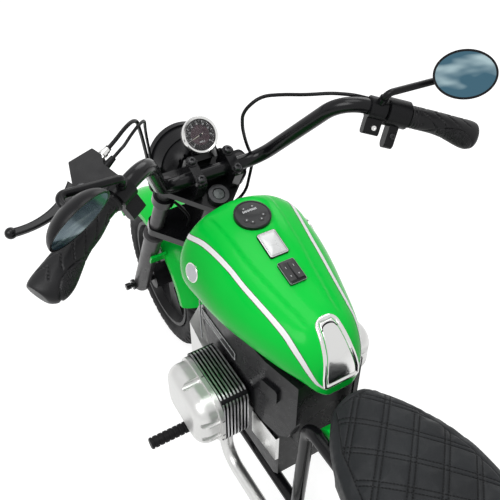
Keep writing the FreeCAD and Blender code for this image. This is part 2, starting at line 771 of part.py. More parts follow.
def brake_perch():
    """Clamp ring with its arm, the lever's forked housing, the cable adjuster and the boot."""
    middle, forward, outwards, up = control_axes()
    thickness = value("perch_thickness")
    corners = [
        control_spot("perch_nose_ahead", "perch_nose_out", "0"),
        control_spot("perch_corner_ahead", "-perch_corner_in", "0"),
        control_spot("perch_corner_ahead - perch_notch", "-perch_corner_in", "0"),
        control_spot("perch_heel_ahead", "-perch_heel_in", "0"),
        control_spot("-bar_radius / 2", "-perch_width / 2", "0"),
        control_spot("-bar_radius / 2", "perch_width / 2", "0"),
        control_spot("grip_radius - bar_radius + 4 * seat_gap", "perch_width / 2", "0"),
        control_spot("lever_pivot_ahead - lever_eye * 1.2", "lever_pivot_out + lever_eye / 2", "0"),
        control_spot("lever_pivot_ahead", "lever_pivot_out + lever_eye * 1.2", "0"),
        control_spot("lever_pivot_ahead + lever_eye * 1.2", "lever_pivot_out + lever_eye / 2", "0"),
    ]
    housing = plate_face(corners, up, thickness, value("perch_round / 2"))
    slot_size = values("perch_nose_ahead * 2", "lever_tip_out", "lever_thickness + 2 * seat_gap")
    slot = Part.makeBox(slot_size.x, slot_size.y, slot_size.z)
    corner = control_spot("-fit", "lever_pivot_out - lever_eye - overrun",
                          "-lever_thickness / 2 - seat_gap")
    slot.Placement = FreeCAD.Placement(corner, FreeCAD.Rotation(forward, outwards, up, "XZY"))
    pin = Part.makeCylinder(value("lever_pin"), thickness,
                            control_spot("lever_pivot_ahead", "lever_pivot_out",
                                         "-perch_thickness / 2"), up)
    ring = collar(1, "perch_from_end", "perch_radius", "perch_width")
    bore = Part.makeCylinder(value("bar_radius + fit"), value("perch_width") * 3,
                             middle - outwards * value("perch_width") * 1.5, outwards)
    adjuster, boot = cable_exits()
    fittings = [
        Part.makeCylinder(value("adjuster_radius"), value("adjuster_length + overrun"), adjuster,
                          outwards * -1),
        Part.makeCone(value("boot_radius"), value("boot_radius * 0.7"),
                      value("adjuster_length + overrun"), boot, outwards * -1),
    ]
    shape = ring.fuse([housing.cut([bore, slot]), pin, clamp_lug(1)] + fittings)
    return keep(lean(shaped("brake_perch", shape.removeSplitter())), "brake_perch")


def clamp_lug(side):
    """Bolt lug under the clamp ring, clear of the bar's bore."""
    middle, outwards = on_bar(side, "perch_from_end")
    drop = bar_rise(outwards) * -1
    back = outwards.cross(drop) * side
    if back.x > 0:
        back = back * -1
    way = (drop + back).normalize()
    half = value("perch_width") / 2
    block_size = values("lug_reach", "lug_width", "perch_width")
    lug = Part.makeBox(block_size.x, block_size.y, block_size.z)
    across = outwards.cross(way)
    start = (middle - outwards * half + way * value("bar_radius + fit * 2")
             - across * value("lug_width") / 2)
    lug.Placement = FreeCAD.Placement(start, FreeCAD.Rotation(way, across, outwards, "XZY"))
    upright = [edge for edge in lug.Edges
               if abs(edge.tangentAt(edge.FirstParameter).dot(outwards)) > 0.99
               and (edge.CenterOfMass - middle).dot(way) > value("lug_reach")]
    return lug.makeFillet(value("lug_round"), upright)


def brake_lever():
    """Flat blade between two bowed edges, with an eye on the pivot and a ball at its tip."""
    middle, forward, outwards, up = control_axes()
    low = "-lever_thickness / 2"
    front = [
        control_spot("lever_pivot_ahead + lever_root", "lever_pivot_out", low),
        control_spot("lever_waist_ahead + lever_width / 2", "lever_waist_out", low),
        control_spot("lever_tip_ahead", "lever_tip_out - lever_knob", low),
    ]
    rear = [
        control_spot("lever_tip_ahead - lever_knob", "lever_tip_out", low),
        control_spot("lever_waist_ahead - lever_width / 2", "lever_waist_out", low),
        control_spot("lever_pivot_ahead", "lever_pivot_out + lever_eye * 0.9", low),
    ]
    root = control_spot("lever_pivot_ahead + lever_eye * 0.9", "lever_pivot_out", low)
    edge_loop = Part.Wire([
        Part.Arc(*front).toShape(), Part.LineSegment(front[2], rear[0]).toShape(),
        Part.Arc(*rear).toShape(), Part.LineSegment(rear[2], root).toShape(),
        Part.LineSegment(root, front[0]).toShape()])
    blade = Part.Face(edge_loop).extrude(up * value("lever_thickness"))
    long_edges = [edge for edge in blade.Edges if edge.Curve.TypeId == "Part::GeomCircle"]
    blade = blade.makeFillet(value("lever_edge"), long_edges)
    pivot = control_spot("lever_pivot_ahead", "lever_pivot_out", low)
    eye = Part.makeCylinder(value("lever_eye"), value("lever_thickness"), pivot, up)
    ball = Part.makeSphere(value("lever_knob"), control_spot("lever_tip_ahead - lever_knob / 3",
                                                              "lever_tip_out - lever_knob / 3", "0"))
    bore = Part.makeCylinder(value("lever_pin + fit"), value("lever_thickness * 3"),
                             pivot - up * value("lever_thickness"), up)
    return keep(lean(shaped("brake_lever", blade.fuse([eye, ball]).cut(bore))), "brake_lever")


def throttle_housing():
    """Drum inside the right grip with a bolt lug that points back and down."""
    from_end = "throttle_grip_length + throttle_width / 2 + seat_gap"
    ring = collar(-1, from_end, "throttle_radius", "throttle_width")
    middle, outwards = on_bar(-1, from_end)
    drop = bar_rise(outwards) * -1
    back = outwards.cross(drop)
    if back.x > 0:
        back = back * -1
    way = (drop + back).normalize()
    across = outwards.cross(way)
    width = value("throttle_lug_radius") * 2
    start = middle + outwards * value("lug_width / 2") - across * width / 2
    start += way * value("bar_radius + fit * 2") - outwards * value("lug_width")
    arm = Part.makeBox(value("throttle_lug_reach - bar_radius"), width, value("lug_width"))
    arm.Placement = FreeCAD.Placement(start, FreeCAD.Rotation(way, across, outwards, "XZY"))
    end = Part.makeCylinder(width / 2, value("lug_width"),
                            middle + way * value("throttle_lug_reach")
                            - outwards * value("lug_width / 2"), outwards)
    housing = ring.fuse([arm, end]).removeSplitter()
    return keep(lean(shaped("throttle_housing", housing)), "throttle_housing")


# Headlamp and speedometer

def headlamp_shell():
    """Stepped drum with a broad front ring and upright slots cut across its rear cap."""
    body = new_body("headlamp_bowl")
    steps = [
        ("0", "-lamp_back"),
        ("lamp_back_radius", "-lamp_back"),
        ("lamp_drum_radius - lamp_step_depth", "-lamp_step", "lamp_bow"),
        ("lamp_drum_radius", "-lamp_step"),
        ("lamp_drum_front", "lamp_front - lamp_ring"),
        ("lamp_radius", "lamp_front - lamp_ring"),
        ("lamp_radius", "lamp_front"),
        ("lamp_radius - lamp_lip", "lamp_front"),
        ("lamp_radius - lamp_lip", "lamp_front - lens_depth"),
        ("lamp_radius - 2 * lamp_lip", "lamp_front - lens_depth"),
        ("lamp_drum_radius - lamp_step_depth - lamp_wall", "-lamp_step"),
        ("lamp_back_radius - lamp_wall", "-lamp_back + lamp_wall"),
        ("0", "-lamp_back + lamp_wall"),
    ]
    revolve(body, outline(body, "headlamp_section", "XZ_Plane", steps))
    slots = []
    count = round(value("lamp_slot_count"))
    for number in range(count):
        slots.append(block(f"lamp_slot_{number}", "2 * lamp_back_radius", "lamp_slot",
                           "lamp_slot_depth + overrun", "0",
                           f"({number} - {count - 1} / 2) * lamp_slot_pitch",
                           "-lamp_back - overrun"))
    shell = cut("headlamp_shell", body, *slots)
    x_text, z_text = steered("lamp_forward", "-lamp_drop")
    place(shell, x_text, "0", z_text, (0, 1, 0), "90 + lamp_pitch")
    return keep(shell, "headlamp_shell")


def headlamp_lens():
    body = new_body("headlamp_glass")
    rim_radius = "lamp_radius - lamp_lip - seat_gap"
    steps = [
        ("0", "lamp_front - lens_depth"),
        (rim_radius, "lamp_front - lens_depth"),
        (rim_radius, "lamp_front"),
        ("0", f"lamp_front + lens_crown - sqrt(lens_crown ^ 2 - ({rim_radius}) ^ 2)", "lens_crown"),
    ]
    revolve(body, outline(body, "headlamp_glass_section", "XZ_Plane", steps))
    x_text, z_text = steered("lamp_forward", "-lamp_drop")
    place(body, x_text, "0", z_text, (0, 1, 0), "90 + lamp_pitch")
    return keep(body, "headlamp_lens")


def lamp_brackets():
    """Two ears from the fork tubes to the headlamp, and the speedometer's strap."""
    ears = []
    for side in (-1, 1):
        y = f"{side} * fork_half_track"
        ring = cylinder(f"ear_{side}_ring", "fork_radius + ear_thickness", "ear_height", "fork_offset",
                        y, "-lamp_drop - ear_height / 2")
        arm = block(f"ear_{side}_arm", "lamp_forward - fork_offset", "ear_thickness", "ear_height",
                    "(lamp_forward + fork_offset) / 2",
                    f"{side} * ((lamp_drum_front + lamp_drum_radius + ear_thickness) / 2"
                    " + 2 * seat_gap)",
                    "-lamp_drop - ear_height / 2")
        bore = cylinder(f"ear_{side}_bore", "fork_radius + fit", "ear_height + 2 * overrun",
                        "fork_offset", y, "-lamp_drop - ear_height / 2 - overrun")
        ears.append(cut(f"ear_{side}", fuse(f"ear_{side}_body", ring, arm), bore))
    return keep(lean(together("lamp_brackets", *ears, dial_bracket())), "lamp_brackets")


def speedometer():
    """Round instrument case."""
    stations = [
        ("dial_radius * 0.72", "-dial_depth"),
        ("dial_radius", "-dial_depth * 0.6"),
        ("dial_radius", "0"),
    ]
    item = spun("speedometer", "XZ_Plane", stations)
    x_text, z_text = steered("dial_forward", "dial_height")
    return keep(place(item, x_text, "0", z_text, (0, -1, 0), "dial_lean"), "speedometer")


def speedometer_bezel():
    body = new_body("speedometer_ring")
    steps = [
        ("dial_radius - bezel_width", "fit"),
        ("dial_radius + bezel_width / 2", "fit"),
        ("dial_radius + bezel_width / 2", "bezel_height * 0.6"),
        ("dial_radius", "bezel_height"),
        ("dial_radius - bezel_width", "bezel_height * 0.8"),
    ]
    revolve(body, outline(body, "speedometer_ring_section", "XZ_Plane", steps))
    x_text, z_text = steered("dial_forward", "dial_height")
    place(body, x_text, "0", z_text, (0, -1, 0), "dial_lean")
    return keep(body, "speedometer_bezel")


def dial_bracket():
    """Folded strap from the top yoke to the instrument's back."""
    body = new_body("dial_bracket")
    lean_angle = "(dial_lean - rake)"
    back_f = f"dial_forward + (dial_depth + seat_gap) * sin{lean_angle}"
    back_u = f"dial_height - (dial_depth + seat_gap) * cos{lean_angle}"
    low = "fork_offset + yoke_nose - dial_bracket_wall"
    rise = "dial_bracket_rise"
    steps = [
        (f"{low} - 2 * dial_bracket_wall", "fit"),
        (low, "fit"),
        (low, f"{rise} - dial_bracket_wall"),
        (f"{back_f} + dial_bracket_wall * sin{lean_angle}",
         f"{back_u} - dial_bracket_wall * cos{lean_angle}"),
        (back_f, back_u),
        (f"{back_f} - dial_radius * cos{lean_angle}", f"{back_u} - dial_radius * sin{lean_angle}"),
        (f"{low} - dial_bracket_wall", rise),
        (f"{low} - dial_bracket_wall", "dial_bracket_wall"),
        (f"{low} - 2 * dial_bracket_wall", "dial_bracket_wall"),
    ]
    pad(body, outline(body, "dial_bracket_outline", "XZ_Plane", steps), "2 * dial_bracket_half", True)
    return body


# Mudguards

def guard_section(body, name, radius, half, skirt, crown):
    """Arched shell section: a crown arc with a skirt down each side."""
    edge = f"{radius} - {crown} + sqrt({crown} ^ 2 - ({half}) ^ 2)"
    inner_half = f"({half} - guard_wall)"
    inner_crown = f"({crown} - guard_wall)"
    inner_edge = f"{radius} - {crown} + sqrt({inner_crown} ^ 2 - {inner_half} ^ 2)"
    steps = [
        (f"{radius} - {skirt}", f"-({half})"),
        (edge, f"-({half})"),
        (edge, half, crown),
        (f"{radius} - {skirt}", half),
        (f"{radius} - {skirt}", inner_half),
        (inner_edge, inner_half),
        (inner_edge, f"-{inner_half}", f"-{inner_crown}"),
        (f"{radius} - {skirt}", f"-{inner_half}"),
    ]
    return outline(body, name, "XY_Plane", steps)


def front_mudguard():
    body = new_body("front_guard_shell")
    section = guard_section(body, "front_guard_section", GUARD, GUARD_HALF, "guard_skirt",
                            GUARD_CROWN)
    revolve(body, section, "guard_sweep", True)
    place(body, FRONT_X, "0", "wheel_radius", (0, -1, 0), "guard_middle")
    tabs = []
    for side in (-1, 1):
        width = "(guard_side_gap + slider_radius + guard_tab_reach + guard_wall / 2)"
        tab = block(f"front_guard_tab_{side}", "guard_tab_wall", width, "guard_tab_height",
                    "fork_offset - slider_radius - guard_tab_wall / 2 - seat_gap",
                    f"{side} * ({GUARD_HALF} - guard_wall / 2 + {width} / 2)",
                    f"-{AXLE_DROP} + {GUARD} - guard_skirt")
        tabs.append(tab)
    mounts = lean(together("front_guard_tabs", *tabs))
    return keep(fuse("front_guard_form", body, mounts), "front_mudguard")


# Mirrors

def facing(normal, long_way):
    """Unit axes of a mirror: the way it faces, its long way and its short way."""
    normal = VECTOR(*normal).normalize()
    long_way = VECTOR(*long_way)
    long_way = (long_way - normal * long_way.dot(normal)).normalize()
    return normal, long_way, normal.cross(long_way)


def mirror(label, side, shift, normal, long_way):
    """Bowl-backed housing on a bent arm from the bar, with its glass in front."""
    normal, long_way, short_way = facing(normal, long_way)
    base, outwards = on_bar(side, "perch_from_end")
    centre = base + values(*shift)
    depth_shares = (0, 0.12, 0.5, 0.84, 1)
    size_shares = (1, 0.99, 0.86, 0.55, 0.22)
    long_half = value("mirror_long")
    short_half = value("mirror_short")
    bowl = Part.makeLoft([oval(centre - normal * value("mirror_bowl") * deep, long_way, short_way,
                               long_half * size, short_half * size)
                          for deep, size in zip(depth_shares, size_shares)], True)
    margin = value("glass_margin")
    glass_wall = value("glass_wall")
    seat = Part.Face(oval(centre - normal * glass_wall, long_way, short_way, long_half - margin,
                          short_half - margin)).extrude(normal * glass_wall * 2)
    glass = Part.Face(oval(centre - normal * glass_wall, long_way, short_way,
                           long_half - margin - value("fit"),
                           short_half - margin - value("fit"))).extrude(normal * glass_wall)
    back = centre - normal * value("mirror_bowl") * 0.9
    rise = bar_rise(outwards)
    raised = base + rise * value("perch_radius + fit")
    elbow = raised + rise * value("mirror_elbow")
    behind = back - normal * value("mirror_bowl") * 0.8
    points = [raised, elbow, behind, back]
    arm = tube(points, [value("mirror_arm_radius") * 2] * 2, value("mirror_arm_radius"))
    foot = Part.makeCylinder(value("mirror_arm_radius * 1.3"), value("mirror_elbow * 0.7"),
                             base + rise * value("bar_radius"), rise)
    ring = collar(side, "perch_from_end", "perch_radius", "perch_width")
    housing = bowl.cut(seat).fuse([arm, foot])
    if side > 0:
        filled = Part.makeCylinder(value("perch_radius + fit"), value("perch_width + 2 * fit"),
                                   base - outwards * value("perch_width / 2 + fit"), outwards)
        housing = housing.cut(filled)
    else:
        bore = Part.makeCylinder(value("bar_radius + fit"), value("perch_width") * 2,
                                 base - outwards * value("perch_width"), outwards)
        housing = housing.fuse([ring, clamp_lug(side)]).cut(bore)
    keep(lean(shaped(label, housing)), label)
    return glass


def mirrors():
    left = mirror("mirror_left", 1, ("-left_mirror_back", "left_mirror_out", "left_mirror_up"),
                  (-0.917, -0.35, -0.015), (0.27, -0.86, 0.445))
    right = mirror("mirror_right", -1, ("-right_mirror_back", "-right_mirror_out", "right_mirror_up"),
                   (-0.45, 0.45, 0.768), (-0.436, -0.86, 0.245))
    return keep(lean(shaped("mirror_glasses", Part.makeCompound([left, right]))), "mirror_glasses")


# Cables

def cables():
    outwards = control_axes()[2]
    starts = [root - outwards * value("adjuster_length + overrun + seat_gap")
              for root in cable_exits()]
    brake_route, lead_route = [[start, start - outwards * value("adjuster_length * 0.8")]
                               for start in starts]
    brake_route += [VECTOR(*point) for point in (
        (41, 155, 202), (51, 140, 198), (59, 128, 183), (64.5, 119.5, 155), (68.5, 110, 121),
        (72.5, 101, 86), (75, 92, 49), (74, 85, 12), (74, 79, -28), (73, 74, -62), (52, 40, -80))]
    brake_route += over_lower_yoke("yoke_nose * 1.4", "yoke_side")
    lead_route += [VECTOR(*point) for point in (
        (25.5, 160, 191), (39, 145, 187), (49.5, 130.5, 186.5), (59, 118.5, 178),
        (67.5, 111, 162), (73.5, 104, 130), (79, 95, 93), (82.5, 86, 56), (82, 79, 18),
        (82, 76, -22), (82, 74.5, -60), (72, 50, -88))]
    lead_route += over_lower_yoke("yoke_nose * 2.2", "yoke_side")
    middle, along_bar = on_bar(-1, "perch_from_end + perch_width / 2 + seat_gap")
    ahead = along_bar.cross(bar_rise(along_bar))
    if ahead.x < 0:
        ahead = ahead * -1
    start = middle + ahead * value("bar_radius + cable_radius + 2 * fit")
    throttle_route = [start, start - along_bar * value("adjuster_length * 1.3")]
    throttle_route += [VECTOR(*point) for point in (
        (15, -151, 183), (31, -122, 170), (44, -88, 168), (51, -56, 168), (50, -34, 142),
        (46, -40, 108), (46, -54, 70), (45, -70, 32), (45, -89, -4), (38, -89, -40),
        (20, -80, -78))]
    throttle_route += over_lower_yoke("yoke_nose * 0.7", "-stem_radius * 2.8")
    keep(lean(cord("brake_cable", brake_route, value("cable_radius"))), "brake_cable")
    keep(lean(cord("switch_lead", lead_route, value("lead_radius"))), "switch_lead")
    keep(lean(cord("throttle_cable", throttle_route, value("cable_radius"))), "throttle_cable")


def over_lower_yoke(ahead, left):
    """Last two corners of a cable, which ends upright on the lower yoke."""
    return [values(ahead, left, "cable_rise - lower_yoke_drop"),
            values(ahead, left, "seat_gap - lower_yoke_drop")]


# Frame

def frame_tubes():
    """Cradle of bent tubes under the engine, uprights, seat rails and rear dropouts."""
    radius = value("tube_radius")
    bend = value("frame_bend")
    head_x, head_z = steered("0", "-lower_yoke_drop + head_tube_radius")
    shapes = []
    for side in (-1, 1):
        half = f"{side} * cradle_half"
        down = [
            values(head_x, "0", head_z),
            values("down_tube_x", f"{side} * down_tube_half", "down_tube_top"),
            values("down_tube_x", f"{side} * down_tube_half", "cradle_z"),
            values("cylinder_x", half, "cradle_z"),
            values(f"{REAR_X} + dropout_length * 2", half, "cradle_z"),
            values(f"{REAR_X} + dropout_length / 2", half, "wheel_radius"),
        ]
        shapes.append(tube(down, [bend, bend * 0.6, bend * 0.6, bend], radius))
        upright = [
            values("upright_x", half, "cradle_z"),
            values("upright_x - tube_radius / 2", f"{side} * upright_half", "seat_rail_z"),
            values("seat_rail_end", f"{side} * upright_half", "seat_rail_z"),
        ]
        shapes.append(tube(upright, [bend * 0.6], radius))
        plate = Part.makeCylinder(value("dropout_radius"), value("dropout_wall"),
                                  values(REAR_X, f"{side} * cradle_half - dropout_wall / 2", "wheel_radius"),
                                  VECTOR(0, 1, 0))
        strap = Part.makeBox(value("dropout_length"), value("dropout_wall"), value("tube_radius * 2"),
                             values(REAR_X, f"{side} * cradle_half - dropout_wall / 2",
                                    "wheel_radius - tube_radius"))
        shapes += [plate, strap]
    backbone = [values(*steered_spot("0", "-lower_yoke_drop * 0.7")),
                values("core_front - backbone_radius", "0", "tank_bottom - backbone_radius * 2.6")]
    behind = Part.makeBox(value("core_front - core_rear"), value("core_half * 2"),
                          value("tank_bottom"), values("core_rear + seat_gap", "-core_half", "0"))
    shapes.append(tube(backbone, [], value("backbone_radius")).cut(behind))
    return shapes


def main_frame():
    shapes = frame_tubes()
    length = value("lower_yoke_drop - yoke_thickness - 2 * head_gap")
    low_x, low_z = steered("0", "-lower_yoke_drop + head_gap")
    axis = values("-sin(rake)", "0", "cos(rake)")
    base = values(low_x, "0", low_z)
    head = Part.makeCylinder(value("head_tube_radius"), length, base, axis)
    bore = Part.makeCylinder(value("stem_radius + running_gap"), length * 2, base - axis * length / 2, axis)
    axle_bores = Part.makeCylinder(value("axle_radius + fit"), value("cradle_half * 4"),
                                   values(REAR_X, "-cradle_half * 2", "wheel_radius"), VECTOR(0, 1, 0))
    shape = head.fuse(shapes).cut(bore).cut(axle_bores).removeSplitter()
    return keep(shaped("main_frame", shape), "main_frame")


# Centre body

def centre_body(above):
    item = block("centre_block", "core_front - core_rear", "2 * core_half",
                 "tank_bottom - core_bottom - 2 * seat_gap", "(core_front + core_rear) / 2", "0",
                 "core_bottom + seat_gap")
    return keep(cut("centre_body", item, above), "centre_body")


def side_cover(label, side, above):
    """Moulded side cover: a side outline crossed with a plan that closes in to the rear."""
    outer = new_body(label + "_side")
    steps = [
        ("cover_sill_x", "cover_sill_z"),
        ("cover_chin_x", "cover_chin_z"),
        ("cover_front", "cover_nose_z"),
        ("cover_top_x", "tank_bottom - seat_gap"),
        ("cover_tail_x", "tank_bottom - seat_gap"),
        ("cover_tail_x", "cover_tail_z"),
        ("cover_waist_x", "cover_sill_z + cover_edge * 4"),
    ]
    pad(outer, outline(outer, label + "_outline", "XZ_Plane", steps), "4 * cover_half", True)
    plan = new_body(label + "_plan")
    inner = "(core_half + seat_gap)"
    steps = [
        ("cover_tail_x - overrun", f"{side} * {inner}"),
        ("cover_front + overrun", f"{side} * {inner}"),
        ("cover_front + overrun", f"{side} * (cover_half - cover_edge)"),
        ("cover_chin_x", f"{side} * cover_half"),
        ("0", f"{side} * cover_half"),
        ("cover_waist_x / 2", f"{side} * (cover_half - cover_edge)"),
        ("cover_tail_x - overrun", f"{side} * cover_rear_half"),
    ]
    pad(plan, outline(plan, label + "_plan_outline", "XY_Plane", steps), "tank_bottom + overrun")
    joined = common(label + "_form", outer, plan)
    barrel = cross_cylinder(label + "_barrel_hole", "barrel_radius + seat_gap", "2 * cover_half",
                            "cylinder_x", f"{side} * cover_half", "cylinder_z")
    trimmed = cut(label, joined, barrel, above)
    if side < 0:
        return keep(trimmed, label)
    return keep(shaped(label, trimmed.Shape.fuse(charging_flap()).removeSplitter()), label)


def charging_flap():
    """Rounded door that stands proud of the left cover's rear, where it closes in."""
    near = values("cover_waist_x / 2", "cover_half - cover_edge", "flap_z")
    far = values("cover_tail_x - overrun", "cover_rear_half", "flap_z")
    rearward = (far - near).normalize()
    outwards = VECTOR(rearward.y, -rearward.x, 0)
    if outwards.y < 0:
        outwards = outwards * -1
    middle = near + rearward * value("flap_shift")
    high = VECTOR(0, 0, value("flap_height") / 2)
    along_way = rearward * value("flap_length") / 2
    corners = [middle - along_way - high, middle + along_way - high, middle + along_way + high,
               middle - along_way + high]
    return plate_face(corners, outwards, value("flap_stand * 2"), value("flap_round"))


def engine_block():
    """Motor block with the narrower gearbox behind it."""
    body = new_body("engine_case")
    steps = [
        ("plate_rear", "engine_bottom + engine_round"),
        ("plate_rear + engine_round", "engine_bottom"),
        ("engine_front", "engine_bottom"),
        ("engine_front", "core_bottom"),
        ("plate_rear", "core_bottom"),
    ]
    pad(body, outline(body, "engine_outline", "XZ_Plane", steps), "2 * engine_half", True)
    return keep(body, "engine_block")


def engine_front_cover():
    """Bright rounded cover ahead of the engine."""
    body = new_body("engine_front_cover")
    steps = [
        ("down_tube_x + tube_radius + seat_gap", "-front_cover_half"),
        ("front_cover_nose - front_cover_round", "-front_cover_half * 0.9"),
        ("front_cover_nose", "-front_cover_half * 0.5"),
        ("front_cover_nose", "front_cover_half * 0.5"),
        ("front_cover_nose - front_cover_round", "front_cover_half * 0.9"),
        ("down_tube_x + tube_radius + seat_gap", "front_cover_half"),
    ]
    pad(body, outline(body, "front_cover_plan", "XY_Plane", steps, "front_cover_bottom"),
        "front_cover_top - front_cover_bottom")
    return keep(body, "engine_front_cover")


def rounded_plate(name, length, height, radius, thickness, x, y, z):
    """Round-cornered plate across Y, starting at y."""
    body = new_body(name)
    steps = [
        (f"-({length}) / 2", f"-({height}) / 2"),
        (f"({length}) / 2", f"-({height}) / 2"),
        (f"({length}) / 2", f"({height}) / 2"),
        (f"-({length}) / 2", f"({height}) / 2"),
    ]
    pad(body, outline(body, name + "_outline", "XZ_Plane", steps), thickness, False, True)
    round_edges(body, radius, along((0, 1, 0)))
    return place(body, x, y, z)


def cylinder_fins(label, side):
    """Finned cylinder: a barrel through the cover, a core and a row of fins."""
    pieces = [cylinder(label + "_barrel", "barrel_radius", "valve_start - fit - engine_half",
                       "cylinder_x", "engine_half + fit", "cylinder_z", (-1, 0, 0), QUARTER)]
    length = "fin_length - 2 * fin_core_inset"
    height = "fin_height - 2 * fin_core_inset"
    pieces.append(rounded_plate(label + "_core", length, height, "fin_round - fin_core_inset",
                                "valve_start - fit - fin_start", "cylinder_x", "fin_start", "cylinder_z"))
    for number in range(int(value("fin_count"))):
        pieces.append(rounded_plate(f"{label}_fin_{number}", "fin_length", "fin_height", "fin_round",
                                    "fin_thickness", "cylinder_x",
                                    f"fin_start + {number} * fin_pitch", "cylinder_z"))
    for number, (x_way, z_way) in enumerate(((1, 1), (1, -1), (-1, 1), (-1, -1))):
        pieces.append(cylinder(f"{label}_stud_{number}", "stud_radius",
                               "valve_start - fit - fin_start",
                               f"cylinder_x + {x_way} * (fin_length / 2 - fin_round / 2)", "fin_start",
                               f"cylinder_z + {z_way} * (fin_height / 2 - fin_round / 2)",
                               (-1, 0, 0), QUARTER))
    form = fuse(label + "_form", *pieces)
    return keep(form if side > 0 else mirror_of(label, form), label)


def valve_cover(name, side):
    """Flange with a domed cover on it, scalloped where the bolts go down to the flange."""
    flange = rounded_plate(name + "_flange", "valve_length", "valve_height", "valve_round",
                           "valve_flange", "cylinder_x", "valve_start", "cylinder_z")
    dome = rounded_plate(name + "_dome", "valve_length - 2 * valve_step",
                         "valve_height - 2 * valve_step", "valve_round - valve_step", "valve_depth",
                         "cylinder_x", "valve_start", "cylinder_z")
    far = value("valve_depth * 0.99")
    round_edges(dome, "valve_dome", lambda edge: edge.BoundBox.YMin > far)
    pockets = []
    for number, (x_share, z_share) in enumerate(((1, 0.35), (1, -0.35), (-1, 0.35), (-1, -0.35),
                                                 (0, 1), (0, -1))):
        pockets.append(cylinder(f"{name}_pocket_{number}", "valve_pocket", "valve_depth",
                                f"cylinder_x + {x_share} * (valve_length / 2 - valve_step)",
                                "valve_start + valve_flange",
                                f"cylinder_z + {z_share} * (valve_height / 2 - valve_step)",
                                (-1, 0, 0), QUARTER))
    form = fuse(name + "_form", flange, cut(name + "_scalloped", dome, *pockets))
    return form if side > 0 else mirror_of(name + "_twin", form)


def valve_covers():
    return keep(together("valve_covers", valve_cover("valve_cover_left", 1),
                         valve_cover("valve_cover_right", -1)), "valve_covers")


def engine_side_plates():
    """Bright gearbox plates behind the cylinders."""
    body = new_body("side_plate")
    steps = [
        ("plate_rear", "plate_bottom + plate_round"),
        ("plate_front", "plate_bottom"),
        ("plate_front", "plate_top - plate_round"),
        ("plate_rear", "plate_top"),
    ]
    pad(body, outline(body, "side_plate_outline", "XZ_Plane", steps, "-engine_half - fit"), "plate_wall",
        False, True)
    twin = mirror_of("side_plate_twin", body)
    return keep(together("engine_side_plates", body, twin), "engine_side_plates")


def exhaust(side):
    radius = value("exhaust_radius")
    y = f"{side} * exhaust_half"
    points = [
        values("exhaust_start_x", y, "cylinder_z - fin_height / 2 - seat_gap"),
        values("exhaust_start_x", y, "exhaust_z"),
        values("muffler_front", y, "exhaust_z"),
    ]
    pipe = tube(points, [value("exhaust_bend")], radius)
    front = values("muffler_front", y, "exhaust_z")
    back = VECTOR(-1, 0, 0)
    cone_length = value("muffler_cone")
    body_length = value("muffler_front - muffler_rear - muffler_cone")
    cone = Part.makeCone(radius, value("muffler_radius"), cone_length, front, back)
    can = Part.makeCylinder(value("muffler_radius"), body_length, front + back * cone_length, back)
    hole = Part.makeCylinder(value("exhaust_bore"), value("muffler_cone"),
                             front + back * body_length, back)
    return pipe.fuse([cone, can]).cut(hole)


def exhausts():
    shapes = [exhaust(side) for side in (1, -1)]
    return keep(shaped("exhausts", Part.makeCompound(shapes)), "exhausts")


def footpeg(name, side):
    """Ribbed rubber on its arm, with the fold joint's fork and bolt beside the engine."""
    arm = cross_cylinder(name + "_arm", "peg_arm_radius", "peg_inner - engine_half - fit",
                         "peg_x", f"{side} * (peg_inner + engine_half + fit) / 2", "peg_z")
    hinge = block(name + "_hinge", "peg_hinge", "peg_hinge", "peg_hinge", "peg_x",
                  f"{side} * (peg_inner - peg_hinge)", "peg_z - peg_hinge / 2")
    bolt = cylinder(name + "_bolt", "peg_groove * 3", "peg_hinge + 2 * peg_groove_pitch / 3", "peg_x",
                    f"{side} * (peg_inner - peg_hinge)", "peg_z - peg_hinge / 2 - peg_groove_pitch / 3")
    stations = [("peg_radius", "peg_inner")]
    for number in range(int(value("peg_groove_count"))):
        start = f"peg_inner + ({number} + 0.5) * peg_groove_pitch"
        stations += [("peg_radius", start), ("peg_radius - peg_groove", start),
                     ("peg_radius - peg_groove", f"{start} + peg_groove_pitch / 3"),
                     ("peg_radius", f"{start} + peg_groove_pitch / 3")]
    stations += [("peg_radius", "peg_outer - peg_groove"), ("peg_radius - peg_groove", "peg_outer")]
    if side < 0:
        stations = [(radius, f"-({text})") for radius, text in reversed(stations)]
    rubber = place(spun(name + "_rubber", "XY_Plane", stations), "peg_x", "0", "peg_z")
    return fuse(name, arm, hinge, bolt, rubber)


def footpegs():
    return keep(together("footpegs", footpeg("footpeg_left", 1), footpeg("footpeg_right", -1)),
                "footpegs")


# Tank

def tank_sections():
    """Shares of length, width and height at each station of the tank, front to tail."""
    return (
        (0.0, 0.5, 0.20, 0.74),
        (0.02, 0.79, 0.10, 0.90),
        (0.06, 0.97, 0.02, 0.97),
        (0.13, 1.04, 0.0, 1.0),
        (0.25, 1.02, 0.0, 0.97),
        (0.40, 0.97, 0.0, 0.88),
        (0.55, 0.87, 0.0, 0.79),
        (0.70, 0.74, 0.0, 0.72),
        (0.82, 0.62, 0.0, 0.66),
        (0.91, 0.50, 0.0, 0.54),
        (0.97, 0.37, -0.06, 0.36),
        (1.0, 0.22, -0.08, 0.18),
    )


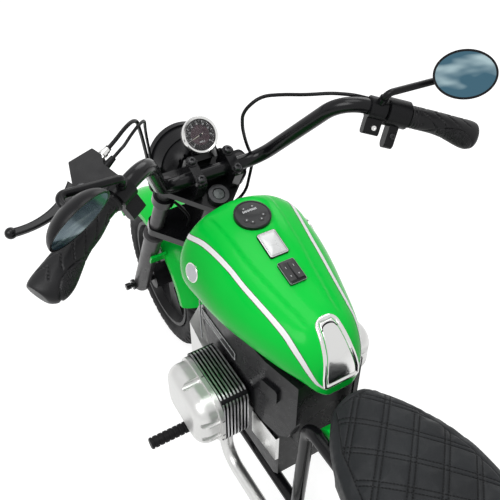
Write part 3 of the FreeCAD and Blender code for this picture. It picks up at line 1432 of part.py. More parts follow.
def tank_section(x, half, low, high):
    """Closed section: flat floor, swelling sides, soft shoulders and a raised spine."""
    height = high - low
    spine = half * 0.44
    side = [
        VECTOR(x, half * 0.72, low),
        VECTOR(x, half * 0.96, low + height * 0.16),
        VECTOR(x, half, low + height * 0.36),
        VECTOR(x, half * 0.9, low + height * 0.66),
        VECTOR(x, spine * 1.5, low + height * 0.86),
        VECTOR(x, spine, low + height * 0.94),
    ]
    left = Part.BSplineCurve()
    left.interpolate(side)
    right = Part.BSplineCurve()
    right.interpolate([flipped_y(point) for point in reversed(side)])
    top = Part.Arc(side[-1], VECTOR(x, 0, high), flipped_y(side[-1]))
    floor = Part.LineSegment(flipped_y(side[0]), side[0])
    return Part.Wire([left.toShape(), top.toShape(), right.toShape(), floor.toShape()])


def tank_form():
    length = value("tank_front - tank_tail")
    rise = value("tank_top - tank_bottom")
    wires = []
    for along_share, half_share, low_share, high_share in tank_sections():
        wires.append(tank_section(value("tank_front") - length * along_share,
                                  value("tank_half") * half_share,
                                  value("tank_bottom") + rise * low_share,
                                  value("tank_bottom") + rise * high_share))
    return Part.makeLoft(wires, True)


def tank(form):
    return keep(shaped("tank", form), "tank")


def top_height(form, x):
    """Height of the tank's spine over one place."""
    ray = Part.LineSegment(VECTOR(x, 0, 0), VECTOR(x, 0, value("tank_top") * 2)).toShape()
    return form.common(ray).BoundBox.ZMax


def on_tank(form, label, x, stand, make):
    """Fitting that stands on the tank's spine and follows its surface underneath."""
    length = value("panel_radius")
    ahead = top_height(form, value(x) + length / 2)
    behind = top_height(form, value(x) - length / 2)
    middle = VECTOR(value(x), 0, (ahead + behind) / 2)
    up = VECTOR(behind - ahead, 0, length).normalize()
    piece = make()
    piece.Placement = FreeCAD.Placement(middle + up * (value(stand) - value("fitting_depth")),
                                        FreeCAD.Rotation(VECTOR(0, 0, 1), up))
    return keep(shaped(label, piece.cut(form)), label)


def round_fitting():
    return Part.makeCylinder(value("panel_radius"), value("fitting_depth"))


def square_fitting(length, width):
    """Plate with rounded corners, centred, standing on zero."""
    long_way = value(length)
    wide = value(width)
    plate = Part.makeBox(long_way, wide, value("fitting_depth"), VECTOR(-long_way / 2, -wide / 2, 0))
    upright = [edge for edge in plate.Edges if along((0, 0, 1))(edge)]
    return plate.makeFillet(value("fitting_round"), upright)


def tank_fittings(form):
    on_tank(form, "control_panel", "panel_x", "panel_stand", round_fitting)
    on_tank(form, "badge_plate", "badge_x", "fitting_stand",
            lambda: square_fitting("badge_length", "badge_width"))
    on_tank(form, "switch_panel", "switch_x", "fitting_stand",
            lambda: square_fitting("switch_length", "switch_width"))
    discs = []
    for side in (1, -1):
        disc = Part.makeCylinder(value("roundel_radius"), value("tank_half * 2"),
                                 values("roundel_x", "0", "roundel_z"), VECTOR(0, side, 0))
        outside = form.copy()
        outside.translate(VECTOR(0, side * value("roundel_stand"), 0))
        discs.append(disc.common(outside).cut(form))
    keep(shaped("side_roundels", Part.makeCompound(discs)), "side_roundels")


def tank_trim(form):
    """Bright strip down the tank's tail, following its surface."""
    front = value("trim_front")
    tail = value("tank_tail - trim_wall")
    half = value("trim_width") / 2
    middle_half = value("trim_middle_width") / 2
    tail_half = value("trim_tail_width") / 2
    low = value("tank_tail_z")
    corners = [VECTOR(front - half / 2, half, low), VECTOR(value("trim_middle"), middle_half, low),
               VECTOR(tail, tail_half, low)]
    corners += [flipped_y(corner) for corner in reversed(corners)]
    sides = [Part.LineSegment(*pair).toShape() for pair in zip(corners, corners[1:])]
    nose = Part.Arc(corners[-1], VECTOR(front, 0, low), corners[0]).toShape()
    plan = Part.Wire(sides + [nose])
    prism = Part.Face(plan).extrude(VECTOR(0, 0, value("tank_top")))
    outside = form.copy()
    outside.translate(values("-trim_wall / 2", "0", "trim_wall"))
    inside = [form.copy(), form.copy(), form.copy()]
    inside[0].translate(values("-seat_gap", "0", "seat_gap"))
    inside[1].translate(values("0", "seat_gap", "0"))
    inside[2].translate(values("0", "-seat_gap", "0"))
    return keep(shaped("tank_trim", prism.common(outside).cut([form] + inside)), "tank_trim")


# Seat

def seat_section(x, half, low, high):
    """Closed cushion section: flat bottom, upright band and a crowned top."""
    band = low + (high - low) * 0.62
    steps = [VECTOR(x, half, low), VECTOR(x, half, band)]
    top = Part.Arc(steps[1], VECTOR(x, 0, high), flipped_y(steps[1]))
    return Part.Wire([
        Part.LineSegment(steps[0], steps[1]).toShape(), top.toShape(),
        Part.LineSegment(flipped_y(steps[1]), flipped_y(steps[0])).toShape(),
        Part.LineSegment(flipped_y(steps[0]), steps[0]).toShape()])


def seat_stations():
    """Shares of length, width and rise at each station of the seat, front to tail."""
    return ((0.0, 0.32, 0.0), (0.06, 0.5, 0.02), (0.22, 0.8, 0.0), (0.46, 1.0, 0.0),
            (0.7, 0.98, 0.2), (0.88, 0.86, 0.8), (1.0, 0.6, 1.0))


def seat_form(low, high, inset):
    """Loft of the seat's plan between two heights."""
    length = value("seat_front - seat_tail") - 2 * inset
    wires = []
    for along_share, half_share, kick_share in seat_stations():
        x = value("seat_front") - inset - length * along_share
        half = value("seat_half") * half_share - inset
        kick = value("seat_kick") * kick_share
        wires.append(seat_section(x, half, low, high + kick))
    return Part.makeLoft(wires, True)


def seat_cushion():
    form = seat_form(value("seat_bottom"), value("seat_top"), 0)
    return keep(shaped("seat_cushion", form), "seat_cushion")


def seat_base():
    low = value("seat_rail_z + tube_radius + fit")
    high = value("seat_bottom - fit")
    length = value("seat_front - seat_tail")
    inset = value("seat_pan_inset")
    points = []
    for along_share, half_share, kick_share in seat_stations():
        x = value("seat_front") - inset - (length - 2 * inset) * along_share
        points.append(VECTOR(x, value("seat_half") * half_share - inset, low))
    loop = points + [flipped_y(point) for point in reversed(points)]
    plan = Part.Face(Part.makePolygon(loop + [loop[0]]))
    return keep(shaped("seat_base", plan.extrude(VECTOR(0, 0, high - low))), "seat_base")


def rear_mudguard():
    body = new_body("rear_mudguard")
    section = guard_section(body, "rear_guard_section", REAR_GUARD, "rear_guard_half",
                            "rear_guard_skirt", CROWN)
    revolve(body, section, "rear_guard_sweep", True)
    place(body, REAR_X, "0", "wheel_radius", (0, -1, 0), "rear_guard_middle")
    return keep(body, "rear_mudguard")


def tail_lamp(guard):
    """Round lamp standing square on the back of the rear mudguard."""
    reach = value(REAR_GUARD)
    rise = value("tail_lamp_z - wheel_radius") / reach
    outwards = VECTOR(-math.sqrt(1 - rise ** 2), 0, rise)
    start = values(REAR_X, "0", "wheel_radius") + outwards * (reach - value("guard_wall") * 0.9)
    case = Part.makeCylinder(value("tail_lamp_radius"), value("tail_lamp_depth"), start, outwards)
    return keep(cut("tail_lamp", shaped("tail_lamp_case", case), guard), "tail_lamp")


def guard_envelope():
    """Solid that fills the rear mudguard out to just beyond its skin."""
    body = new_body("rear_guard_envelope")
    radius = f"({REAR_GUARD} + seat_gap)"
    half = "(rear_guard_half + seat_gap)"
    edge = f"{radius} - {CROWN} + sqrt({CROWN} ^ 2 - {half} ^ 2)"
    steps = [("0", f"-{half}"), (edge, f"-{half}"), (edge, half, CROWN), ("0", half)]
    revolve(body, outline(body, "rear_envelope_section", "XY_Plane", steps))
    return place(body, REAR_X, "0", "wheel_radius")


def under_seat_body():
    """Painted body between the seat rails that sits down on the rear mudguard."""
    body = new_body("under_seat_form")
    top = "seat_rail_z + tube_radius"
    steps = [
        ("under_seat_front", f"{top} - under_seat_depth"),
        ("under_seat_front", f"{top} - under_seat_round"),
        ("under_seat_front - under_seat_round", top),
        ("under_seat_rear", top),
        ("under_seat_rear", f"{top} - under_seat_depth"),
        (f"{REAR_X} + {REAR_GUARD} / 2", f"{top} - under_seat_depth * 1.4"),
    ]
    pad(body, outline(body, "under_seat_outline", "XZ_Plane", steps), "2 * under_seat_half", True)
    return keep(cut("under_seat_body", body, guard_envelope()), "under_seat_body")


def stabiliser_arms():
    shapes = [stabiliser_arm(side) for side in (1, -1)]
    return keep(shaped("stabiliser_arms", Part.makeCompound(shapes)), "stabiliser_arms")


def stabiliser_arm(side):
    """Strap on the rear axle with a bent arm out to the stabiliser's pin."""
    rear_x = value(REAR_X)
    inner = value("cradle_half + dropout_wall / 2 + fit")
    across = VECTOR(0, side, 0)
    wall = value("stabiliser_plate")
    eye = value("stabiliser_plate_radius")
    low = value("stabiliser_arm_z")
    axle = VECTOR(rear_x, side * inner, value("wheel_radius"))
    plate = Part.makeCylinder(eye, wall, axle, across)
    foot = Part.makeCylinder(eye, wall, VECTOR(rear_x, side * inner, low), across)
    web = Part.makeBox(eye * 2, wall, value("wheel_radius") - low,
                       VECTOR(rear_x - eye, min(side * inner, side * (inner + wall)), low))
    bore = Part.makeCylinder(value("axle_radius + fit"), 3 * wall, axle - across * wall, across)
    out = value("stabiliser_half_track - stabiliser_width / 2 - 3 * running_gap")
    points = [
        VECTOR(rear_x, side * (inner + wall / 2), low),
        VECTOR(rear_x, side * value("stabiliser_arm_half"), low),
        VECTOR(rear_x, side * value("stabiliser_arm_half"), value("stabiliser_radius")),
        VECTOR(rear_x, side * out, value("stabiliser_radius")),
    ]
    bend = value("stabiliser_arm_radius * 1.1")
    arm = tube(points, [value("stabiliser_bend"), bend], value("stabiliser_arm_radius"))
    pin = Part.makeCylinder(value("stabiliser_pin"), value("stabiliser_width + 6 * running_gap"),
                            points[-1] - across * wall, across)
    head = Part.makeCylinder(value("stabiliser_pin * 1.6"), value("stabiliser_plate"),
                             points[-1] + across * value("stabiliser_width + 6 * running_gap"), across)
    pin_end = pin.fuse(Part.makeCylinder(value("stabiliser_pin"), wall * 2,
                                         head.CenterOfMass - across * wall * 2, across))
    return plate.fuse([foot, web, arm, pin_end, head]).cut(bore)


def write_parts():
    """Check every object and write one STEP file for each sub-part."""
    document.recompute()
    broken = [item.Label for item in document.Objects
              if "Invalid" in item.State or "Error" in item.State]
    if broken:
        raise RuntimeError("failed objects: " + ", ".join(broken))
    for item in nodes:
        if item.Shape.isNull() or not item.Shape.isValid():
            raise RuntimeError("bad shape: " + item.Label)
    os.makedirs("parts", exist_ok=True)
    for item in nodes:
        item.Shape.exportStep(f"parts/{item.Label}.step")


tyre("front_tyre", FRONT_X)
rim("front_rim", FRONT_X, FRONT_HUB)
tyre("rear_tyre", REAR_X)
rim("rear_rim", REAR_X, REAR_HUB)
stabiliser_wheel("stabiliser_wheel_left", 1)
stabiliser_wheel("stabiliser_wheel_right", -1)
front_axle()
rear_axle()
yoke("top_yoke", "0", "yoke_thickness")
yoke("lower_yoke", "-lower_yoke_drop", "lower_yoke_thickness")
steering_stem()
fork_leg("fork_left", 1)
fork_leg("fork_right", -1)
handlebar()
bar_clamps()
grip("grip_left", 1, "grip_length")
grip("grip_right", -1, "throttle_grip_length")
brake_perch()
brake_lever()
throttle_housing()
headlamp_shell()
headlamp_lens()
lamp_brackets()
speedometer()
speedometer_bezel()
front_mudguard()
mirrors()
cables()
main_frame()
form = tank_form()
above = tank(form)
centre_body(above)
side_cover("side_cover_left", 1, above)
side_cover("side_cover_right", -1, above)
engine_block()
engine_front_cover()
cylinder_fins("cylinder_left", 1)
cylinder_fins("cylinder_right", -1)
valve_covers()
engine_side_plates()
exhausts()
footpegs()
tank_fittings(form)
tank_trim(form)
seat_cushion()
seat_base()
under_seat_body()
tail_lamp(rear_mudguard())
stabiliser_arms()
write_parts()
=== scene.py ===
import json
import math

import bmesh
import bpy
import numpy as np
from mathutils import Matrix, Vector


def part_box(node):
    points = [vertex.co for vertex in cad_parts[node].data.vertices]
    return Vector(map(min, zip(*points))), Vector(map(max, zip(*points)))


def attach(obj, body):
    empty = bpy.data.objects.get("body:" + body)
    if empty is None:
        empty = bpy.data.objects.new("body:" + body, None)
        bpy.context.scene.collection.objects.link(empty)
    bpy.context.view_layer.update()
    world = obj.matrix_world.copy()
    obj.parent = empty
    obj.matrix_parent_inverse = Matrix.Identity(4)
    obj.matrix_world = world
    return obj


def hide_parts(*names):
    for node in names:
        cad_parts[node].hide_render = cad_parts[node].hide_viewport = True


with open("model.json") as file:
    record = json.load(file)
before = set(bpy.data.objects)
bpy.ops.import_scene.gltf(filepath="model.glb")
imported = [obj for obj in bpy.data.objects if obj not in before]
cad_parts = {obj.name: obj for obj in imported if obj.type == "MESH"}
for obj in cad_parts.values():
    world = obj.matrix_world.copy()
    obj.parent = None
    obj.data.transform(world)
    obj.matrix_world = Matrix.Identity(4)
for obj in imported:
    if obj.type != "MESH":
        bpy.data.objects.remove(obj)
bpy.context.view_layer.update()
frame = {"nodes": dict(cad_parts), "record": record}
node = frame["nodes"]
print("frame loaded,", len(node), "nodes")

mm = 0.001
forward, upwards = (1, 0, 0), (0, 0, 1)
sides = (("Left", 1), ("Right", -1))


def newObject(name, data):
    made = bpy.data.objects.new(name, data)
    bpy.context.scene.collection.objects.link(made)
    return made


# camera where the photograph was taken from
camera = {"place": (-0.5631, 0.3937, 1.1624), "look": (0.6441, -0.3782, -0.6649), "lens": 49.93,
          "sensor": 36, "nearest": 0.01}
cameraObject = newObject("photoCamera", bpy.data.cameras.new("photoCamera"))
cameraObject.location = camera["place"]
cameraObject.rotation_euler = Vector(camera["look"]).to_track_quat("-Z", "Y").to_euler()
cameraObject.data.lens = camera["lens"]
cameraObject.data.sensor_width = camera["sensor"]
cameraObject.data.clip_start = camera["nearest"]
bpy.context.scene.camera = cameraObject


# steering axes: ahead of the stem, left, and up along the stem, in metres from the stem nut
head = {"x": 0.206, "z": 0.507, "rake": math.radians(27)}


def steered(ahead, left, up):
    c, s = math.cos(head["rake"]), math.sin(head["rake"])
    ahead, left, up = (np.asarray(v, float) for v in (ahead, left, up))
    return np.stack(np.broadcast_arrays(head["x"] + ahead * c - up * s, left,
                                        head["z"] + ahead * s + up * c), -1)


def unit(vectors):
    vectors = np.asarray(vectors, float)
    return vectors / np.maximum(np.linalg.norm(vectors, axis=-1, keepdims=True), 1e-12)


# three unit directions from a normal and a rough long way
def axesFrom(normal, longWay):
    normal = np.array(normal, float) / np.linalg.norm(normal)
    longWay = np.array(longWay, float)
    longWay = longWay - normal * (longWay @ normal)
    longWay /= np.linalg.norm(longWay)
    return longWay, np.cross(normal, longWay), normal


# points on a grid become a skin: rows along the piece, columns around it, and fans close open ends
def gridSkin(grid, around=True, along=False):
    rows, cols = grid.shape[:2]
    index = np.arange(rows * cols).reshape(rows, cols)
    a = index if along else index[:-1]
    b = np.roll(index, -1, 0) if along else index[1:]
    if around:
        quads = np.stack([a, np.roll(a, -1, 1), np.roll(b, -1, 1), b], -1)
    else:
        quads = np.stack([a[:, :-1], a[:, 1:], b[:, 1:], b[:, :-1]], -1)
    points = grid.reshape(-1, 3)
    faces = quads.reshape(-1, 4).tolist()
    for ring in index[[0, -1]] if around and not along else ():
        middle = len(points)
        points = np.vstack([points, points[ring].mean(0)])
        faces += np.stack([ring, np.roll(ring, -1), np.full(cols, middle)], -1).tolist()
    return points, faces


def joinSkins(skins):
    points, faces, count = [], [], 0
    for some, rings in skins:
        points.append(np.asarray(some, float))
        faces += [[corner + count for corner in face] for face in rings]
        count += len(some)
    return np.vstack(points), faces


def shadeSmooth(mesh, sharp=None):
    mesh.polygons.foreach_set("use_smooth", np.ones(len(mesh.polygons), bool))
    if sharp:
        mesh.set_sharp_from_angle(angle=math.radians(sharp))


# a piece of the frame in its finish, unless told otherwise. A list of skins is joined
def newPiece(name, skin, finish, slot=None, body="frame", replaced=(), sharp=40, flip=True):
    mesh = bpy.data.meshes.new(name)
    skin = joinSkins(skin) if isinstance(skin, list) else skin
    mesh.from_pydata(np.asarray(skin[0]).tolist(), [], skin[1])
    if flip:
        work = bmesh.new()
        work.from_mesh(mesh)
        bmesh.ops.recalc_face_normals(work, faces=work.faces)
        work.to_mesh(mesh)
        work.free()
    shadeSmooth(mesh, sharp)
    mesh.materials.append(finishes[finish])
    piece = newObject(name, mesh)
    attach(piece, body)
    if replaced:
        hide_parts(*replaced)
    return piece


# the same on the part that turns with the bars
def barPiece(name, skin, finish, slot=None, **more):
    return newPiece(name, skin, finish, slot, "steering", **more)


# a piece turned about an axis from a profile of radius and height
def turned(centre, normal, profile, steps=48):
    guide = (0.3, 0.9, 0.2) if abs(normal[1]) < 0.9 else (1, 0, 0)
    longWay, shortWay, axis = axesFrom(normal, guide)
    angle = np.linspace(0, 2 * math.pi, steps, endpoint=False)
    ring = np.cos(angle)[:, None] * longWay + np.sin(angle)[:, None] * shortWay
    profile = np.array(profile, float)
    return gridSkin(np.array(centre, float) + profile[:, 0, None, None] * ring
                    + profile[:, 1, None, None] * axis)


# a dome's profile from its edge to its tip: height falls as the square of the radius
def dome(radius, edge, tip, base, rise, count):
    return [(r, base + rise * (1 - (r / radius) ** 2)) for r in np.linspace(edge, tip, count)]


# socket bolt's head in shares of its radius and height: side, rounded rim, flat ring, socket
boltShares = [(1, -0.4), (1, 0.55), (0.86, 0.92), (0.72, 1), (0.42, 1), (0.38, 0.35), (0.01, 0.3)]


def boltHead(centre, normal, radius, height):
    return turned(centre, normal, [(radius * r, height * h) for r, h in boltShares], 18)


# a smooth run through given points: cubic pieces that pass through each of them
def smoothPath(points, count):
    points = np.array(points, float)
    padded = np.vstack([2 * points[0] - points[1], points, 2 * points[-1] - points[-2]])
    at = np.linspace(0, len(points) - 1, count)
    k = np.minimum(at.astype(int), len(points) - 2)
    t = (at - k)[:, None]
    a, b, c, d = padded[k], padded[k + 1], padded[k + 2], padded[k + 3]
    return 0.5 * (2 * b + (c - a) * t + (2 * a - 5 * b + 4 * c - d) * t ** 2
                  + (3 * b - a - 3 * c + d) * t ** 3)


# a round tube along a path
def tubeSkin(path, radius, around):
    way = unit(np.gradient(path, axis=0))
    guide = np.array([0.13, 0.31, 0.94]) if abs(way[:, 2]).mean() < 0.9 else np.array([0.94, 0.31, 0.13])
    first = unit(np.cross(way, guide))
    second = np.cross(way, first)
    angle = np.linspace(0, 2 * math.pi, around, endpoint=False)[None, :, None]
    ring = np.cos(angle) * first[:, None] + np.sin(angle) * second[:, None]
    return gridSkin(path[:, None] + radius * ring)


# a flat ribbon along a path, in columns across the given side direction
def ribbonSkin(path, sideways, width, columns):
    share = np.linspace(-0.5, 0.5, columns)[None, :, None]
    return gridSkin(path[:, None] + share * width * unit(sideways)[:, None], around=False)


def evaluated(piece):
    graph = bpy.context.evaluated_depsgraph_get()
    mesh = bpy.data.meshes.new_from_object(piece.evaluated_get(graph))
    piece.modifiers.clear()
    piece.data = mesh
    return piece


# lay a flat skin onto a solid, a little above its surface
def wrapOnto(piece, target, stand):
    wrap = piece.modifiers.new("wrap", "SHRINKWRAP")
    wrap.target = target
    wrap.wrap_method = "NEAREST_SURFACEPOINT"
    wrap.wrap_mode = "ABOVE_SURFACE"
    wrap.offset = stand
    return evaluated(piece)


# one property of all vertices or faces as an array
def gathered(items, name, size=3):
    values = np.empty(len(items) * size)
    items.foreach_get(name, values)
    return values.reshape(-1, size) if size > 1 else values


def coordinates(mesh):
    return gathered(mesh.vertices, "co")


def normalsOf(mesh):
    return gathered(mesh.vertex_normals, "vector")


def moveTo(mesh, points):
    mesh.vertices.foreach_set("co", np.asarray(points, float).ravel())
    mesh.update()


# value per vertex that a material reads by name
def storeValue(mesh, name, values):
    layer = mesh.attributes.new(name, "FLOAT", "POINT")
    layer.data.foreach_set("value", np.asarray(values, float))


# finishes: short words for the shader nodes
finishes = {}


def newFinish(name, colour, roughness, metallic=0.0, coat=0.0, specular=0.5):
    material = bpy.data.materials.new(name)
    material.use_nodes = True
    shader = material.node_tree.nodes["Principled BSDF"]
    for socket, given in (("Base Color", (*colour, 1)), ("Roughness", roughness), ("Metallic", metallic),
                          ("Coat Weight", coat), ("Coat Roughness", 0.06), ("Specular IOR Level", specular)):
        shader.inputs[socket].default_value = given
    finishes[name] = material
    return material.node_tree, shader


def add(tree, kind, inputs=None, **settings):
    made = tree.nodes.new(kind)
    for key, given in settings.items():
        setattr(made, key, given)
    for key, given in (inputs or {}).items():
        socket = made.inputs[key]
        if isinstance(given, bpy.types.NodeSocket):
            tree.links.new(given, socket)
        else:
            socket.default_value = given
    return made


def attribute(tree, name):
    return add(tree, "ShaderNodeAttribute", attribute_name=name).outputs["Fac"]


def places(tree):
    return add(tree, "ShaderNodeTexCoord").outputs["Object"]


def axisParts(tree):
    return add(tree, "ShaderNodeSeparateXYZ", {0: places(tree)}).outputs


# the object's own places, stretched and turned
def stretched(tree, scale, turn=(0, 0, 0)):
    return add(tree, "ShaderNodeMapping", {"Vector": places(tree), "Scale": scale,
                                           "Rotation": turn}).outputs[0]


def noise(tree, scale, detail=3.0, rough=0.55, vector=None):
    return add(tree, "ShaderNodeTexNoise", {"Vector": vector or places(tree), "Scale": scale,
                                            "Detail": detail, "Roughness": rough}).outputs["Fac"]


def cells(tree, scale):
    return add(tree, "ShaderNodeTexVoronoi", {"Vector": places(tree), "Scale": scale}).outputs["Distance"]


def spread(tree, value, low, high, fromLow=0.3, fromHigh=0.7):
    return add(tree, "ShaderNodeMapRange", {"Value": value, "From Min": fromLow, "From Max": fromHigh,
                                            "To Min": low, "To Max": high}).outputs["Result"]


def sums(tree, how, first, second=0.0):
    return add(tree, "ShaderNodeMath", {0: first, 1: second}, operation=how).outputs[0]


# even ripples along one axis: a sine of the distance, in radians per metre
def ripples(tree, axis, perMetre):
    return sums(tree, "SINE", sums(tree, "MULTIPLY", axisParts(tree)[axis], perMetre))


def blendColour(tree, share, first, second):
    first, second = (given if isinstance(given, bpy.types.NodeSocket) else (*given, 1)
                     for given in (first, second))
    return add(tree, "ShaderNodeMix", {0: share, 6: first, 7: second}, data_type="RGBA").outputs[2]


def wire(shader, socket, source):
    shader.id_data.links.new(source, shader.inputs[socket])


def bumpFrom(tree, shader, height, distance):
    bump = add(tree, "ShaderNodeBump", {"Height": height, "Distance": distance, "Strength": 1.0})
    wire(shader, "Normal", bump.outputs["Normal"])


# moulded plastic or paint: a slow mottle in colour and gloss, over a fine grain
def moulded(name, colour, roughness, grainSize=0.0012, grainDepth=0.00006, mottle=0.12,
            spreadRough=0.08, **more):
    tree, shader = newFinish(name, colour, roughness, **more)
    slow = noise(tree, 9.0, 4)
    darker = tuple(c * (1 - mottle) for c in colour)
    lighter = tuple(min(1, c * (1 + mottle * 0.6)) for c in colour)
    wire(shader, "Base Color", blendColour(tree, spread(tree, slow, 0, 1), darker, lighter))
    fine = noise(tree, 60.0, 5, 0.6)
    wire(shader, "Roughness", spread(tree, fine, max(0.02, roughness - spreadRough), roughness + spreadRough))
    bumpFrom(tree, shader, noise(tree, 1.0 / grainSize, 2), grainDepth)
    return tree, shader


# plated parts: bright metal with faint clouding and hairline polishing marks
def plated(name, colour, roughness, cloud=0.05, hairline=0.000006):
    tree, shader = newFinish(name, colour, roughness, 1.0)
    slow = noise(tree, 14.0, 3)
    clouded = tuple(c * (1 - cloud) for c in colour)
    wire(shader, "Base Color", blendColour(tree, spread(tree, slow, 0, 1), clouded, colour))
    marks = noise(tree, 1.0, 2, 0.5, stretched(tree, (40, 900, 900)))
    wire(shader, "Roughness", spread(tree, marks, roughness * 0.8, roughness * 1.25))
    bumpFrom(tree, shader, marks, hairline)


def clearFinish(name, colour, ior):
    tree, shader = newFinish(name, colour, 0.03)
    shader.inputs["Transmission Weight"].default_value = 1.0
    shader.inputs["IOR"].default_value = ior
    return tree, shader


# colour, roughness, grain size and depth in metres, mottle, and what else differs from the usual
solidFinishes = {
    "green_paint": ((0.002, 0.60, 0.052), 0.24, 0.03, 0.00006, 0.04,
                    {"coat": 0.07, "specular": 0.09, "spreadRough": 0.03}),
    "tyre_rubber": ((0.011, 0.011, 0.012), 0.62, 0.0016, 0.00012, 0.25, {"specular": 0.14}),
    "wheel_black": ((0.012, 0.012, 0.013), 0.36, 0.0014, 0.00004, 0.2, {"specular": 0.14}),
    "black_plastic": ((0.007, 0.007, 0.008), 0.30, 0.0009, 0.00004, 0.2, {"specular": 0.16}),
    "satin_black": ((0.006, 0.006, 0.007), 0.20, 0.0016, 0.00002, 0.2,
                    {"specular": 0.22, "spreadRough": 0.04}),
    "dark_steel": ((0.060, 0.061, 0.064), 0.35, 0.0008, 0.00004, 0.2, {"metallic": 0.7}),
    "fork_grey": ((0.052, 0.050, 0.052), 0.34, 0.0016, 0.00003, 0.1, {"metallic": 0.2, "specular": 0.2}),
    "grip_rubber": ((0.011, 0.011, 0.012), 0.50, 0.0007, 0.00005, 0.25, {"specular": 0.14}),
    "bracket_silver": ((0.30, 0.31, 0.32), 0.3, 0.001, 0.00003, 0.08, {"metallic": 0.8}),
    "cable_black": ((0.008, 0.008, 0.009), 0.35, 0.001, 0.00003, 0.15, {"specular": 0.14}),
    "fin_black": ((0.010, 0.010, 0.011), 0.33, 0.001, 0.00004, 0.15, {"specular": 0.14}),
    "peg_rubber": ((0.012, 0.012, 0.013), 0.52, 0.0008, 0.00006, 0.2, {"specular": 0.14}),
    "dark_panel": ((0.012, 0.013, 0.014), 0.22, 0.003, 0.00002, 0.15, {"coat": 0.1, "specular": 0.2}),
    "white_disc": ((0.62, 0.64, 0.67), 0.25, 0.004, 0.00002, 0.08, {"coat": 0.3}),
    "seat_leather": ((0.016, 0.017, 0.018), 0.45, 0.0016, 0.00022, 0.2, {"specular": 0.14}),
}
for name, (colour, roughness, grainSize, grainDepth, mottle, more) in solidFinishes.items():
    moulded(name, colour, roughness, grainSize, grainDepth, mottle, **more)
plated("bright_chrome", (0.72, 0.72, 0.71), 0.17)
plated("satinChrome", (0.66, 0.66, 0.65), 0.36, 0.06)

# red tail lens with level flutes, and clear headlamp lens with upright ones: radians per metre and depth
flutes = {"tail": 1700.0, "tailDepth": 0.0006, "head": 900.0, "headDepth": 0.00025}
tree, shader = moulded("red_lens", (0.42, 0.008, 0.006), 0.12, 0.004, 0.0001, 0.1, coat=0.3)
bumpFrom(tree, shader, ripples(tree, 2, flutes["tail"]), flutes["tailDepth"])
tree, shader = clearFinish("clear_lens", (0.96, 0.97, 0.97), 1.20)
bumpFrom(tree, shader, ripples(tree, 1, flutes["head"]), flutes["headDepth"])

# mirror glass: a cool deep tint with pale streaks of painted reflection drifting over it
mirror = {"deep": (0.055, 0.135, 0.19), "pale": (0.42, 0.56, 0.60), "stretch": (1.2, 0.7, 2.6),
          "turn": (0.5, 0.4, 0.2), "edge": (0.50, 0.68), "ripple": 0.00002}
tree, shader = newFinish("mirror_glass", (0.2, 0.4, 0.5), 0.12, 0.7, specular=0.3)
paintedReflectionStreaks = noise(tree, 16.0, 2, 0.5, stretched(tree, mirror["stretch"], mirror["turn"]))
tintWithPaintedReflection = blendColour(tree, spread(tree, paintedReflectionStreaks, 0, 1, *mirror["edge"]), mirror["deep"], mirror["pale"])
wire(shader, "Base Color", tintWithPaintedReflection)
bumpFrom(tree, shader, noise(tree, 30, 1), mirror["ripple"])

slotOf = {part["node"]: part["material_slot"] for part in frame["record"]["subparts"]}
ownFinish = {"valve_covers": "satinChrome", "exhausts": "satinChrome", "lamp_brackets": "satin_black",
             "engine_front_cover": "satinChrome", "front_axle": "satin_black"}
for name, shown in node.items():
    shown.data.materials.clear()
    shown.data.materials.append(finishes[ownFinish.get(name, slotOf[name])])
print("finishes set on the solids")


# largest flat face of a solid that looks towards one direction: its middle and its normal
faceSearch = {"leastTowards": 0.6, "leastAlike": 0.999, "sameLevel": 0.0004}


def facePlane(name, towards):
    faces = node[name].data.polygons
    normals, centres = gathered(faces, "normal"), gathered(faces, "center")
    areas = gathered(faces, "area", 1)
    largest = np.where(normals @ unit(towards) > faceSearch["leastTowards"], areas, 0).argmax()
    best = normals[largest]
    level = np.abs((centres - centres[largest]) @ best)
    alike = (normals @ best > faceSearch["leastAlike"]) & (level < faceSearch["sameLevel"])
    return (centres[alike] * areas[alike, None]).sum(0) / areas[alike].sum(), best


# rounded rectangle: the corner arcs and the sides share one loop
def roundedLoop(long, wide, radius, perCorner=6):
    angle = np.linspace(0, math.pi / 2, perCorner)
    loop = []
    for signA, signB, start in ((1, 1, 0), (-1, 1, 1), (-1, -1, 2), (1, -1, 3)):
        turnBy = angle + start * math.pi / 2
        loop.append(np.stack([signA * (long / 2 - radius) + radius * np.cos(turnBy),
                              signB * (wide / 2 - radius) + radius * np.sin(turnBy)], -1))
    return np.vstack(loop)


# rounded rectangles over one another on a plane: each step is how far in and how high a loop lies
def stackedLoops(centre, normal, long, wide, radius, steps):
    first, second, axis = axesFrom(normal, forward)
    rows = []
    for inset, level in steps:
        loop = roundedLoop(long - 2 * inset, wide - 2 * inset, radius - inset)
        rows.append(np.asarray(centre) + loop[:, :1] * first + loop[:, 1:] * second + level * axis)
    return np.array(rows)


# low block with a rounded rim, let a little into the surface
def lowBlock(centre, normal, long, wide, radius, height, rim=0.0006, sink=0.0006):
    steps = [(0, -sink), (0, height - rim), (rim * 0.3, height - rim * 0.3), (rim, height)]
    return gridSkin(stackedLoops(centre, normal, long, wide, radius, steps))


# narrow raised frame along a rounded rectangle
def rimFrame(centre, normal, long, wide, radius, width, height, sink=0.0004):
    steps = [(0, -sink), (0, height), (width, height), (width, -sink)]
    return gridSkin(stackedLoops(centre, normal, long, wide, radius, steps).transpose(1, 0, 2), along=True)


